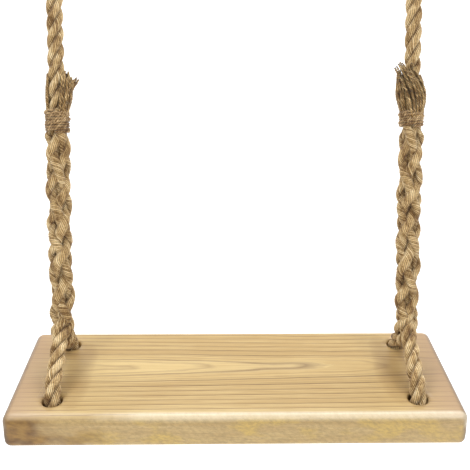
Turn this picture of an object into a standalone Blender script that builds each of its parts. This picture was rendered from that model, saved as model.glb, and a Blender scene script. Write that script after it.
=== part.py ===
"""Plank swing: a thick wooden seat hung from two spliced hemp ropes.

Each rope comes down from a ceiling plate through a snap hook and a thimble eye, is spliced onto
itself above the seat and divides there into a front leg and a rear leg, which pass through the
seat's holes and meet underneath.  The front legs are the longer ones, so the empty seat hangs
with its front edge low.

World frame in metres: +X to the right, +Y to the rear, +Z up.  The origin lies in the plane of
the two ceiling plates' top faces, midway between them, and everything hangs below it.
"""

import math

import bmesh
import bpy
from mathutils import Matrix, Vector

# ---------------------------------------------------------------- driving dimensions
SIDES = {"left": -1, "right": 1}
GAP = 0.0003                    # between pieces that touch

SEAT_LENGTH = 0.455
SEAT_DEPTH = 0.158
SEAT_THICKNESS = 0.036
SEAT_EDGE_RADIUS = 0.008
SEAT_CORNER_RADIUS = 0.009
SEAT_TILT = math.radians(18)    # front edge low
SEAT_DROP = 0.640               # from the plates' top faces to the middle of the board

HOLE_X = 0.183
HOLE_Y = 0.0503
HOLE_RADIUS = 0.010
HOLE_RIM_RADIUS = 0.0025

ROPE_RADIUS = 0.008
THROAT_HEIGHT = 0.068           # throat above the middle of the board
THROAT_RADIUS = 0.009
SPLICE_RADIUS = 0.0125
SPLICE_LENGTH = 0.189
TAIL_WHIPPING_RADIUS = 0.0135
TAIL_WHIPPING_LENGTH = 0.025
FRINGE_RADIUS = 0.0175
FRINGE_LENGTH = 0.042

PLATE_SIZE = (0.070, 0.060, 0.005)
PLATE_CORNER_RADIUS = 0.008
SCREW_HOLE_RADIUS = 0.00275
SCREW_HEAD_RADIUS = 0.0055
SCREW_SPACING = (0.050, 0.042)
BOW_WIRE_RADIUS = 0.004
BOW_CROWN_RADIUS = 0.014
BOW_DROP = 0.023                # from the plate's top face to the centre of the bow's lowest wire

HOOK_WIRE_RADIUS = 0.004
HOOK_ARCH_RADIUS = 0.015
HOOK_SPAN = 0.082               # between the wire centres of its two arches
HOOK_SEGMENTS = 12
HOOK_NOSE_LENGTH = 0.0045
TONGUE_THICKNESS = 0.0026
TONGUE_WIDTH = 0.007
GATE_PIN_RADIUS = 0.0015
GATE_PIN_RISE = 0.0068          # pin above the centre of the lower arch
GATE_SLOT_WIDTH = 0.0034

THIMBLE_SHEET = 0.0022
THIMBLE_WRAP = math.radians(60)
EYE_RADIUS = 0.027              # of the rope's centre line round the thimble
EYE_THROAT_DROP = 0.0425        # from the thimble's centre to the ends of the loop
EYE_WHIPPING_RADIUS = 0.0175
EYE_WHIPPING_LENGTH = 0.018
EYE_SPLICE_RADIUS = 0.0135
EYE_SPLICE_LENGTH = 0.058

# Rope round the seat, in the seat's own frame: (y to the rear, z along the board's normal),
# measured from the middle of the board.  Each leg runs from the throat down into its hole, and
# the under-run joins the two holes below the board.
FRONT_LEG_ROUTE = (
    (0.0127, 0.0600), (-0.0050, 0.0500), (-0.0220, 0.0403), (-0.0391, 0.0306), (-0.0439, 0.0271),
    (-0.0474, 0.0225), (-0.0497, 0.0172), (-0.0505, 0.0115), (-0.0506, 0.0055), (-0.0506, 0.0002),
)
REAR_LEG_ROUTE = (
    (0.0260, 0.0567), (0.0330, 0.0455), (0.0410, 0.0327), (0.0471, 0.0232), (0.0497, 0.0176),
    (0.0505, 0.0115), (0.0506, 0.0055), (0.0506, 0.0002),
)
UNDER_RUN_ROUTE = (
    (-0.0506, -0.0002), (-0.0507, -0.0092), (-0.0493, -0.0169), (-0.0450, -0.0234),
    (-0.0386, -0.0277), (-0.0306, -0.0291), (-0.0150, -0.0286), (0.0, -0.0284),
    (0.0150, -0.0286), (0.0306, -0.0291), (0.0386, -0.0277), (0.0450, -0.0234),
    (0.0493, -0.0169), (0.0507, -0.0092), (0.0506, -0.0002),
)
ROUTE_STEPS = 2                 # straight pieces between two points of a route

TURN_STEPS = 24
CORNER_SEGMENTS = 4

# ---------------------------------------------------------------- heights that follow from them
BOW_PIVOT_Z = -BOW_DROP
HOOK_TOP_Z = BOW_PIVOT_Z + BOW_WIRE_RADIUS + GAP + HOOK_WIRE_RADIUS
HOOK_BOTTOM_Z = HOOK_TOP_Z - HOOK_SPAN
THIMBLE_GROOVE = ROPE_RADIUS + GAP
THIMBLE_BORE_RADIUS = EYE_RADIUS - THIMBLE_GROOVE - THIMBLE_SHEET
THIMBLE_Z = HOOK_BOTTOM_Z + HOOK_WIRE_RADIUS + GAP - THIMBLE_BORE_RADIUS
SEAT_Z = -SEAT_DROP
THROAT_Z = SEAT_Z + THROAT_HEIGHT
SPLICE_BOTTOM_Z = THROAT_Z + THROAT_RADIUS + GAP
SPLICE_TOP_Z = SPLICE_BOTTOM_Z + SPLICE_LENGTH
TAIL_WHIPPING_TOP_Z = SPLICE_TOP_Z + GAP + TAIL_WHIPPING_LENGTH
FRINGE_TOP_Z = TAIL_WHIPPING_TOP_Z + GAP + FRINGE_LENGTH
EYE_ENDS_Z = THIMBLE_Z - EYE_THROAT_DROP
EYE_WHIPPING_BOTTOM_Z = EYE_ENDS_Z - GAP - EYE_WHIPPING_LENGTH
EYE_SPLICE_BOTTOM_Z = EYE_WHIPPING_BOTTOM_Z - GAP - EYE_SPLICE_LENGTH

# ---------------------------------------------------------------- materials
# name: (colour, roughness, metallic)
FINISHES = {
    "oiled_wood": ((0.70, 0.50, 0.26), 0.45, 0.0),
    "hemp_rope": ((0.52, 0.35, 0.15), 0.90, 0.0),
    "hemp_twine": ((0.46, 0.29, 0.12), 0.90, 0.0),
    "galvanised_steel": ((0.55, 0.56, 0.57), 0.42, 1.0),
    "bright_steel": ((0.66, 0.66, 0.68), 0.25, 1.0),
}


def clear_scene():
    """Remove every object of the open file."""
    for obj in list(bpy.data.objects):
        bpy.data.objects.remove(obj, do_unlink=True)


def new_collection(name):
    """Return a new collection linked to the scene."""
    collection = bpy.data.collections.new(name)
    bpy.context.scene.collection.children.link(collection)
    return collection


def new_material(name):
    """Return a Principled material from FINISHES."""
    colour, roughness, metallic = FINISHES[name]
    material = bpy.data.materials.new(name)
    material.use_nodes = True
    shader = material.node_tree.nodes["Principled BSDF"]
    shader.inputs["Base Color"].default_value = (*colour, 1.0)
    shader.inputs["Roughness"].default_value = roughness
    shader.inputs["Metallic"].default_value = metallic
    material.diffuse_color = (*colour, 1.0)
    return material


clear_scene()
SWING = new_collection("plank_swing")
CUTTERS = new_collection("cutters")
MATERIALS = {name: new_material(name) for name in FINISHES}


# ---------------------------------------------------------------- modelling helpers
def add_object(name, mesh, finish, parent=None, location=(0, 0, 0), rotation=(0, 0, 0)):
    """Put a mesh in the swing's collection under an optional parent empty."""
    obj = bpy.data.objects.new(name, mesh)
    SWING.objects.link(obj)
    obj.parent = parent
    obj.location = location
    obj.rotation_euler = rotation
    mesh.materials.clear()
    mesh.materials.append(MATERIALS[finish])
    return obj


def axis_empty(name, location, rotation=(0, 0, 0), parent=None):
    """Return an empty that stands on a joint's axis."""
    empty = bpy.data.objects.new(name, None)
    SWING.objects.link(empty)
    empty.empty_display_size = 0.02
    empty.parent = parent
    empty.location = location
    empty.rotation_euler = rotation
    return empty


def box_mesh(name, size, corner_radius=0.0):
    """Return a box centred on the origin, its four upright edges rounded if a radius is given."""
    bm = bmesh.new()
    bmesh.ops.create_cube(bm, size=1.0, matrix=Matrix.Diagonal((*size, 1.0)))
    if corner_radius:
        upright = [e for e in bm.edges if abs(e.verts[0].co.z - e.verts[1].co.z) > size[2] / 2]
        bmesh.ops.bevel(bm, geom=upright, offset=corner_radius, segments=CORNER_SEGMENTS,
                        profile=0.5, affect="EDGES")
    mesh = bpy.data.meshes.new(name)
    bm.to_mesh(mesh)
    bm.free()
    return mesh


def rod_mesh(name, radius, length, axis="Z", segments=16):
    """Return a cylinder centred on the origin along X, Y or Z."""
    turn = {"X": Matrix.Rotation(math.pi / 2, 4, "Y"), "Y": Matrix.Rotation(math.pi / 2, 4, "X"),
            "Z": Matrix.Identity(4)}[axis]
    bm = bmesh.new()
    bmesh.ops.create_cone(bm, cap_ends=True, segments=segments, radius1=radius, radius2=radius,
                          depth=length, matrix=turn)
    mesh = bpy.data.meshes.new(name)
    bm.to_mesh(mesh)
    bm.free()
    return mesh


def turned_mesh(name, profile, closed=False):
    """Return the mesh of a profile of (radius, height) points that a Screw modifier will turn."""
    count = len(profile)
    edges = [(i, i + 1) for i in range(count - 1)]
    if closed:
        edges.append((count - 1, 0))
    mesh = bpy.data.meshes.new(name)
    mesh.from_pydata([(radius, 0.0, height) for radius, height in profile], edges, [])
    return mesh


def turn(obj, steps=TURN_STEPS):
    """Add the Screw modifier that turns a profile round the object's Z axis."""
    screw = obj.modifiers.new("turn", "SCREW")
    screw.axis = "Z"
    screw.angle = 2 * math.pi
    screw.steps = steps
    screw.render_steps = steps
    screw.use_merge_vertices = True
    screw.merge_threshold = 0.00001
    screw.use_smooth_shade = True
    return obj


def add_turned(name, profile, finish, closed=False, **place):
    """Add a turned piece; an open profile runs from its top to its bottom on the axis."""
    return turn(add_object(name, turned_mesh(name, profile, closed), finish, **place))


def arc(centre, radius, start, end, steps):
    """Return points along a circular arc, its angles in radians."""
    angles = [start + (end - start) * i / steps for i in range(steps + 1)]
    return [(centre[0] + radius * math.cos(a), centre[1] + radius * math.sin(a)) for a in angles]


def smooth_route(points, steps=ROUTE_STEPS):
    """Return points on the smooth curve that passes through a route's own points."""
    padded = [2 * points[0] - points[1], *points, 2 * points[-1] - points[-2]]
    route = []
    for before, start, end, after in zip(padded, padded[1:], padded[2:], padded[3:]):
        for i in range(steps):
            t = i / steps
            route.append(0.5 * (2 * start + (end - before) * t
                                + (2 * before - 5 * start + 4 * end - after) * t ** 2
                                + (3 * start - before - 3 * end + after) * t ** 3))
    return [*route, points[-1]]


def tube_curve(name, points, radius, resolution=3):
    """Return a round tube along points, as a curve with filled caps."""
    curve = bpy.data.curves.new(name, "CURVE")
    curve.dimensions = "3D"
    curve.bevel_depth = radius
    curve.bevel_resolution = resolution
    curve.use_fill_caps = True
    spline = curve.splines.new("POLY")
    spline.points.add(len(points) - 1)
    for knot, point in zip(spline.points, points):
        knot.co = (*point, 1.0)
    return curve


def add_tube(name, points, radius, finish, resolution=3, parent=None, location=(0, 0, 0)):
    """Add a tube as a curve object."""
    obj = bpy.data.objects.new(name, tube_curve(name, points, radius, resolution))
    SWING.objects.link(obj)
    obj.parent = parent
    obj.location = location
    obj.data.materials.append(MATERIALS[finish])
    return obj


def tube_mesh(name, points, radius, resolution=3):
    """Return a tube as a closed mesh, ready for a Boolean."""
    guide = bpy.data.objects.new(name + "_guide", tube_curve(name, points, radius, resolution))
    SWING.objects.link(guide)
    mesh = bpy.data.meshes.new_from_object(guide.evaluated_get(bpy.context.evaluated_depsgraph_get()))
    bpy.data.objects.remove(guide, do_unlink=True)
    bm = bmesh.new()
    bm.from_mesh(mesh)
    bmesh.ops.remove_doubles(bm, verts=bm.verts, dist=0.000001)
    bm.to_mesh(mesh)
    bm.free()
    mesh.name = name
    return mesh


def combine(obj, mesh, operation, location=(0, 0, 0)):
    """Cut a mesh from an object, or join it to it, where it stands in the object's own frame."""
    tool = bpy.data.objects.new(mesh.name, mesh)
    CUTTERS.objects.link(tool)
    tool.parent = obj
    tool.location = location
    tool.hide_render = True
    tool.display_type = "WIRE"
    boolean = obj.modifiers.new(mesh.name, "BOOLEAN")
    boolean.operation = operation
    boolean.solver = "EXACT"
    boolean.object = tool
    return tool


def cut(obj, mesh, location=(0, 0, 0)):
    """Cut a mesh from an object."""
    return combine(obj, mesh, "DIFFERENCE", location)


def round_edges(obj, width, segments=3, angle=math.radians(40)):
    """Round every edge sharper than an angle."""
    bevel = obj.modifiers.new("rounding", "BEVEL")
    bevel.width = width
    bevel.segments = segments
    bevel.limit_method = "ANGLE"
    bevel.angle_limit = angle
    return bevel


# ---------------------------------------------------------------- ceiling fitting
def ceiling_plate(side, x):
    """Flat steel plate with four countersunk screw holes and two holes for its bow."""
    length, depth, thickness = PLATE_SIZE
    plate = add_object(f"{side}_ceiling_plate", box_mesh("plate", PLATE_SIZE, PLATE_CORNER_RADIUS),
                       "galvanised_steel", location=(x, 0, -thickness / 2))
    sink = SCREW_HEAD_RADIUS - SCREW_HOLE_RADIUS
    reach = thickness / 2 + 0.001
    profile = ((0, reach), (SCREW_HOLE_RADIUS, reach), (SCREW_HOLE_RADIUS, -thickness / 2 + sink),
               (SCREW_HEAD_RADIUS, -thickness / 2), (SCREW_HEAD_RADIUS, -reach), (0, -reach))
    for sx in (-1, 1):
        for sy in (-1, 1):
            place = (sx * SCREW_SPACING[0] / 2, sy * SCREW_SPACING[1] / 2, 0)
            turn(cut(plate, turned_mesh("screw_hole", profile), place), steps=16)
        cut(plate, rod_mesh("bow_hole", BOW_WIRE_RADIUS + GAP, thickness * 2),
            (sx * BOW_CROWN_RADIUS, 0, 0))
    return plate


def plate_bow(side, axis):
    """U-shaped wire that hangs under the plate, its lowest wire on the swing's axis."""
    top = BOW_DROP - GAP
    crown = arc((0, BOW_CROWN_RADIUS), BOW_CROWN_RADIUS, math.pi, 2 * math.pi, 14)
    outline = [(-BOW_CROWN_RADIUS, top), *crown, (BOW_CROWN_RADIUS, top)]
    return add_tube(f"{side}_plate_bow", [(x, 0, z) for x, z in outline], BOW_WIRE_RADIUS,
                    "galvanised_steel", location=axis)


# ---------------------------------------------------------------- snap hook
def snap_hook(side, pivot):
    """Oval wire body, open at its front side, with a drilled tongue for the gate."""
    to_hook = HOOK_TOP_Z - BOW_PIVOT_Z
    upper = to_hook - HOOK_ARCH_RADIUS
    lower = to_hook - HOOK_SPAN + HOOK_ARCH_RADIUS
    pin_z = lower + GATE_PIN_RISE
    outline = [(-HOOK_ARCH_RADIUS, upper - HOOK_NOSE_LENGTH),
               *arc((0, upper), HOOK_ARCH_RADIUS, math.pi, 0, HOOK_SEGMENTS),
               *arc((0, lower), HOOK_ARCH_RADIUS, 0, -math.pi, HOOK_SEGMENTS),
               (-HOOK_ARCH_RADIUS, lower + 0.001)]
    wire = tube_mesh(f"{side}_hook_wire", [(0, y, z) for y, z in outline], HOOK_WIRE_RADIUS)
    hook = add_object(f"{side}_snap_hook", wire, "bright_steel", parent=pivot)
    tongue_top = pin_z + 0.004
    tongue_bottom = lower - 0.003
    tongue = box_mesh("tongue", (TONGUE_THICKNESS, TONGUE_WIDTH, tongue_top - tongue_bottom))
    combine(hook, tongue, "UNION", (0, -HOOK_ARCH_RADIUS, (tongue_top + tongue_bottom) / 2))
    cut(hook, rod_mesh("tongue_bore", GATE_PIN_RADIUS + GAP, 0.012, "X", 12),
        (0, -HOOK_ARCH_RADIUS, pin_z))
    return hook


def snap_gate(side, hinge):
    """Round gate, forked over the tongue at its foot, reaching up to the nose."""
    foot = -0.0036
    head = HOOK_SPAN - 2 * HOOK_ARCH_RADIUS - GATE_PIN_RISE - HOOK_NOSE_LENGTH - 2 * GAP
    length = head - foot
    gate = add_object(f"{side}_snap_gate", rod_mesh("gate", HOOK_WIRE_RADIUS, length),
                      "bright_steel", parent=hinge, location=(0, 0, foot + length / 2))
    slot_top = 0.0060
    slot_bottom = foot - 0.002
    slot = box_mesh("gate_slot", (GATE_SLOT_WIDTH, 0.012, slot_top - slot_bottom))
    middle = foot + length / 2
    cut(gate, slot, (0, 0, (slot_top + slot_bottom) / 2 - middle))
    cut(gate, rod_mesh("gate_bore", GATE_PIN_RADIUS + GAP, 0.012, "X", 12), (0, 0, -middle))
    return gate


def gate_pin(side, hinge):
    """Rivet that the gate turns on."""
    length = 2 * HOOK_WIRE_RADIUS - GAP
    pin = add_object(f"{side}_gate_pin", rod_mesh("pin", GATE_PIN_RADIUS, length, "X", 12),
                     "galvanised_steel", parent=hinge)
    return pin


# ---------------------------------------------------------------- rope eye
def eye_thimble(side, pivot):
    """Round thimble: one thickness of sheet curled round the rope, turned about Y."""
    centre = (EYE_RADIUS, 0)
    inward = math.pi
    groove = arc(centre, THIMBLE_GROOVE, inward - THIMBLE_WRAP, inward + THIMBLE_WRAP, 10)
    bore = arc(centre, THIMBLE_GROOVE + THIMBLE_SHEET, inward + THIMBLE_WRAP,
               inward - THIMBLE_WRAP, 10)
    return add_turned(f"{side}_eye_thimble", [*groove, *bore], "galvanised_steel", closed=True,
                      parent=pivot, location=(0, 0, THIMBLE_Z - HOOK_BOTTOM_Z),
                      rotation=(math.pi / 2, 0, 0))


def eye_loop(side, pivot):
    """Rope round the thimble, from one side of the whipping to the other."""
    end = Vector((ROPE_RADIUS + GAP, -EYE_THROAT_DROP))
    fork = end + Vector((0.0010, 0.0065))
    reach = math.acos(EYE_RADIUS / fork.length)
    leave = math.atan2(fork.y, fork.x) + reach
    foot = [tuple(end), (end.x, end.y + 0.0030), tuple(fork)]
    round_thimble = arc((0, 0), EYE_RADIUS, leave, math.pi - leave, 24)
    outline = [*foot, *round_thimble, *[(-x, z) for x, z in reversed(foot)]]
    return add_tube(f"{side}_eye_loop", [(x, 0, z) for x, z in outline], ROPE_RADIUS, "hemp_rope",
                    parent=pivot, location=(0, 0, THIMBLE_Z - HOOK_BOTTOM_Z))


# ---------------------------------------------------------------- standing part of a rope
def add_rope_turning(name, profile, finish, pivot):
    """Add a turned piece of the hanging rope, its heights given in the world frame."""
    local = [(radius, z - HOOK_BOTTOM_Z) for radius, z in profile]
    return add_turned(name, local, finish, parent=pivot)


def barrel(bottom, top, radius, end_radius, ease):
    """Return a solid barrel's profile, top to bottom, its two ends drawn in over a length."""
    return ((0, top), (end_radius, top), (radius, top - ease), (radius, bottom + ease),
            (end_radius, bottom), (0, bottom))


def standing_part(side, pivot):
    """Eye whipping, eye splice, rope, fringe of tails, tail whipping and long splice."""
    add_rope_turning(f"{side}_eye_whipping",
                     barrel(EYE_WHIPPING_BOTTOM_Z, EYE_ENDS_Z - GAP, EYE_WHIPPING_RADIUS,
                            EYE_WHIPPING_RADIUS - 0.0015, 0.0015), "hemp_twine", pivot)
    add_rope_turning(f"{side}_eye_splice",
                     ((0, EYE_WHIPPING_BOTTOM_Z - GAP), (EYE_SPLICE_RADIUS, EYE_WHIPPING_BOTTOM_Z - GAP),
                      (ROPE_RADIUS + 0.001, EYE_SPLICE_BOTTOM_Z), (0, EYE_SPLICE_BOTTOM_Z)),
                     "hemp_rope", pivot)
    rope_top = EYE_SPLICE_BOTTOM_Z - GAP
    rope_bottom = TAIL_WHIPPING_TOP_Z + GAP
    spans = 6
    heights = [rope_top + (rope_bottom - rope_top) * i / spans for i in range(spans + 1)]
    add_tube(f"{side}_standing_rope", [(0, 0, z - HOOK_BOTTOM_Z) for z in heights], ROPE_RADIUS,
             "hemp_rope", parent=pivot)
    inner = ROPE_RADIUS + GAP
    add_turned(f"{side}_tail_fringe",
               [(r, z - HOOK_BOTTOM_Z) for r, z in
                ((inner, FRINGE_TOP_Z), (FRINGE_RADIUS - 0.002, FRINGE_TOP_Z),
                 (FRINGE_RADIUS, FRINGE_TOP_Z - 0.008), (TAIL_WHIPPING_RADIUS, rope_bottom),
                 (inner, rope_bottom))], "hemp_rope", closed=True, parent=pivot)
    add_rope_turning(f"{side}_tail_whipping",
                     barrel(SPLICE_TOP_Z + GAP, TAIL_WHIPPING_TOP_Z, TAIL_WHIPPING_RADIUS,
                            TAIL_WHIPPING_RADIUS - 0.001, 0.002), "hemp_twine", pivot)
    add_rope_turning(f"{side}_long_splice",
                     barrel(SPLICE_BOTTOM_Z, SPLICE_TOP_Z, SPLICE_RADIUS, SPLICE_RADIUS - 0.002,
                            0.006), "hemp_rope", pivot)


# ---------------------------------------------------------------- seat
def rope_throat(side, x):
    """Ball of rope where the two legs part, its centre on the seat's axis."""
    bm = bmesh.new()
    bmesh.ops.create_uvsphere(bm, u_segments=16, v_segments=10, radius=THROAT_RADIUS)
    mesh = bpy.data.meshes.new("throat")
    bm.to_mesh(mesh)
    bm.free()
    return add_object(f"{side}_rope_throat", mesh, "hemp_rope", location=(x, 0, THROAT_Z))


def seat_board(axis, middle):
    """Thick board with rounded edges and four eased rope holes."""
    size = (SEAT_LENGTH, SEAT_DEPTH, SEAT_THICKNESS)
    board = add_object("seat_board", box_mesh("board", size, SEAT_CORNER_RADIUS), "oiled_wood",
                       parent=axis, location=middle)
    round_edges(board, SEAT_EDGE_RADIUS, segments=4)
    face = SEAT_THICKNESS / 2
    flare = HOLE_RADIUS + HOLE_RIM_RADIUS
    rim = arc((flare, face - HOLE_RIM_RADIUS), HOLE_RIM_RADIUS, math.pi / 2, math.pi, 4)
    upper = [(0, face + 0.002), (flare, face + 0.002), *rim]
    profile = [*upper, *[(radius, -z) for radius, z in reversed(upper)]]
    for sx in (-1, 1):
        for sy in (-1, 1):
            turn(cut(board, turned_mesh("rope_hole", profile), (sx * HOLE_X, sy * HOLE_Y, 0)))
    return board


def seat_rope(name, route, axis, middle, x):
    """Add a stretch of the rope round the seat along a route in the seat's frame."""
    points = smooth_route([Vector((0.0, y, z)) for y, z in route])
    return add_tube(name, points, ROPE_RADIUS, "hemp_rope", parent=axis,
                    location=(x, middle.y, middle.z))


def build_seat():
    """Seat board and the rope round it, hung on an empty on the tilt axis."""
    axis = axis_empty("seat_tilt_axis", (0, 0, THROAT_Z), rotation=(SEAT_TILT, 0, 0))
    middle = Vector((0, -THROAT_HEIGHT * math.sin(SEAT_TILT), -THROAT_HEIGHT * math.cos(SEAT_TILT)))
    seat_board(axis, middle)
    for side, sign in SIDES.items():
        x = sign * HOLE_X
        seat_rope(f"{side}_front_leg", FRONT_LEG_ROUTE, axis, middle, x)
        seat_rope(f"{side}_under_run", UNDER_RUN_ROUTE, axis, middle, x)
        seat_rope(f"{side}_rear_leg", REAR_LEG_ROUTE, axis, middle, x)
        rope_throat(side, x)


def build_hanger(side, sign):
    """Ceiling fitting, snap hook, eye and hanging rope of one side."""
    x = sign * HOLE_X
    ceiling_plate(side, x)
    plate_bow(side, (x, 0, BOW_PIVOT_Z))
    hook_axis = axis_empty(f"{side}_hook_axis", (x, 0, BOW_PIVOT_Z))
    snap_hook(side, hook_axis)
    lower_arch = HOOK_BOTTOM_Z + HOOK_ARCH_RADIUS - BOW_PIVOT_Z
    gate_axis = axis_empty(f"{side}_gate_axis", (0, -HOOK_ARCH_RADIUS, lower_arch + GATE_PIN_RISE),
                           parent=hook_axis)
    snap_gate(side, gate_axis)
    gate_pin(side, gate_axis)
    rope_axis = axis_empty(f"{side}_rope_axis", (x, 0, HOOK_BOTTOM_Z))
    eye_thimble(side, rope_axis)
    eye_loop(side, rope_axis)
    standing_part(side, rope_axis)


for side_name, side_sign in SIDES.items():
    build_hanger(side_name, side_sign)
build_seat()
bpy.context.view_layer.update()
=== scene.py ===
"""Looks of a plank swing: an oiled ash board on two spliced hemp ropes with steel hooks and plates.

Every surface is worked out with numpy on a grid of two parameters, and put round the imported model.
"""
import logging
import math
from dataclasses import dataclass, field
from enum import Enum
from typing import Any, Sequence

import bpy
import numpy as np
from mathutils import Euler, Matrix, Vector


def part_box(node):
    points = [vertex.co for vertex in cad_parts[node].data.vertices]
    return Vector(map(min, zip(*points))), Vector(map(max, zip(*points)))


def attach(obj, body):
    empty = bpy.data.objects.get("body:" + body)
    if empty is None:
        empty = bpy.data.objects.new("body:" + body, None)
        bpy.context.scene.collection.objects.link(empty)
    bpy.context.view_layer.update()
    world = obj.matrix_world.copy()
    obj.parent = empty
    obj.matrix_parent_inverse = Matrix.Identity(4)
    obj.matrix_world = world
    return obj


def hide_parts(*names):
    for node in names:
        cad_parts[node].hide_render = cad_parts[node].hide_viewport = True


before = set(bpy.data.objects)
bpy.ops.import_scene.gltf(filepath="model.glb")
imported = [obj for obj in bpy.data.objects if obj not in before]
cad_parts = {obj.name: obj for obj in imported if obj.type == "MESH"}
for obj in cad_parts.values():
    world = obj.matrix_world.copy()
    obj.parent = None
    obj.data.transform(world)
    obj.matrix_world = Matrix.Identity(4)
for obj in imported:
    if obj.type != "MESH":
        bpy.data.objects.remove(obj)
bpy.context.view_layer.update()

LOG = logging.getLogger("plank_swing")
TAU = 2.0 * math.pi
MM = 0.001
Array = np.ndarray

SEAT_TILT = math.radians(18)

# The rope's route round the seat, as (y, z) from the middle of the board, in the board's own frame.
FRONT_LEG_ROUTE = ((0.0127, 0.0600), (-0.0050, 0.0500), (-0.0220, 0.0403), (-0.0391, 0.0306),
                   (-0.0439, 0.0271), (-0.0474, 0.0225), (-0.0497, 0.0172), (-0.0505, 0.0115),
                   (-0.0506, 0.0055), (-0.0506, 0.0002))
UNDER_RUN_ROUTE = ((-0.0507, -0.0092), (-0.0493, -0.0169), (-0.0450, -0.0234), (-0.0386, -0.0277),
                   (-0.0306, -0.0291), (-0.0150, -0.0286), (0.0, -0.0284), (0.0150, -0.0286),
                   (0.0306, -0.0291), (0.0386, -0.0277), (0.0450, -0.0234), (0.0493, -0.0169),
                   (0.0507, -0.0092))
REAR_LEG_ROUTE = ((0.0506, 0.0002), (0.0506, 0.0055), (0.0505, 0.0115), (0.0497, 0.0176),
                  (0.0471, 0.0232), (0.0410, 0.0327), (0.0330, 0.0455), (0.0260, 0.0567))
THROAT_IN_SEAT = (0.0210, 0.0647)


class Side(Enum):
    """The two ropes, by the sign of their place along the board."""

    LEFT = -1
    RIGHT = 1

    @property
    def word(self) -> str:
        """The side's name, as the nodes spell it."""
        return self.name.lower()


class Slot(Enum):
    """The record's material slots."""

    WOOD = "oiled_wood"
    ROPE = "hemp_rope"
    TWINE = "hemp_twine"
    GALVANISED = "galvanised_steel"
    BRIGHT = "bright_steel"


# ---------------------------------------------------------------- arithmetic on arrays
def unit(vectors: Array) -> Array:
    """Vectors brought to length one.

    Args:
        vectors: any array whose last axis is x, y, z.

    Returns:
        The same directions, each of length one.
    """
    return vectors / np.maximum(np.linalg.norm(vectors, axis=-1, keepdims=True), 1e-12)


def ease(low: float, high: float, values: Array) -> Array:
    """Smooth step: 0 below low, 1 above high, and 3t^2 - 2t^3 between them.

    Args:
        low: where the step starts.
        high: where it ends; it may be below low, which turns the step round.
        values: where the step is wanted.

    Returns:
        The step's value at each place.
    """
    t = np.clip((values - low) / (high - low), 0.0, 1.0)
    return t * t * (3.0 - 2.0 * t)


def bend(centre: tuple[float, float], radius: float, start: float, end: float,
         steps: int = 40) -> Array:
    """Points on an arc: centre + radius (cos a, sin a).

    Args:
        centre: its middle.
        radius: its radius.
        start: the angle of its first point, in radians.
        end: the angle of its last.
        steps: how many points.

    Returns:
        (n, 2) points.
    """
    a = np.linspace(start, end, steps)
    return np.array(centre) + radius * np.stack([np.cos(a), np.sin(a)], axis=1)


def wander(values: Array, seed: int, length: float) -> Array:
    """A slow aimless curve: four sines of falling height, their phases drawn from a seed.

    Args:
        values: places along a line, in metres.
        seed: picks the phases.
        length: the longest wave, in metres.

    Returns:
        A number near -1 to 1 at each place.
    """
    draw = np.random.default_rng(seed)
    phases = draw.uniform(0.0, TAU, 4)
    waves = np.array([1.0, 1.7, 2.9, 4.3])
    heights = np.array([0.5, 0.3, 0.2, 0.12])
    return np.sin(np.asarray(values)[..., None] * TAU * waves / length + phases) @ heights


def travelled(line: Array) -> Array:
    """Distance along a line of points, from its first point."""
    return np.concatenate([[0.0], np.cumsum(np.linalg.norm(np.diff(line, axis=0), axis=1))])


def along_line(line: Array, places: Array) -> Array:
    """Points at the given distances along a line of points."""
    return np.stack([np.interp(places, travelled(line), line[:, k]) for k in range(3)], axis=1)


def upright(heights: Array, x: float) -> Array:
    """An upright line at x, through the given heights."""
    return np.stack([np.full_like(heights, x), np.zeros_like(heights), heights], axis=1)


def turns(line: Array, pitch: Array | float, start: float = 0.0) -> Array:
    """The angle that a lay has turned along a line: the sum of 2 pi ds / pitch.

    Args:
        line: (n, 3) the rope's middle.
        pitch: its length for one turn, one number or one for each point.
        start: the angle at its first point.

    Returns:
        The angle at each point, in radians.
    """
    steps = np.diff(travelled(line))
    pitch = np.broadcast_to(np.asarray(pitch, float), len(line))
    rate = TAU / (0.5 * (pitch[1:] + pitch[:-1]))
    return start + np.concatenate([[0.0], np.cumsum(steps * rate)])


def smooth_line(points: Array, step: float) -> Array:
    """The Catmull-Rom curve through points, as places a fixed distance apart along it.

    On each stretch the curve is a cubic whose slope at a point is half the chord of its neighbours.

    Args:
        points: (n, 3) points that the curve passes through.
        step: the distance wanted between the places returned.

    Returns:
        (m, 3) evenly spaced points from the first to the last.
    """
    ends = (2 * points[:1] - points[1:2], points, 2 * points[-1:] - points[-2:-1])
    p = np.concatenate(ends)[:, None, :]
    before, start, end, after = p[:-3], p[1:-2], p[2:-1], p[3:]
    t = np.linspace(0.0, 1.0, 24, endpoint=False)[None, :, None]
    curve = 0.5 * (2 * start + (end - before) * t
                   + (2 * before - 5 * start + 4 * end - after) * t ** 2
                   + (3 * start - before - 3 * end + after) * t ** 3)
    dense = np.concatenate([curve.reshape(-1, 3), points[-1:]])
    along = travelled(dense)
    places = np.linspace(0.0, along[-1], max(8, round(along[-1] / step) + 1))
    return along_line(dense, places)


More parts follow.
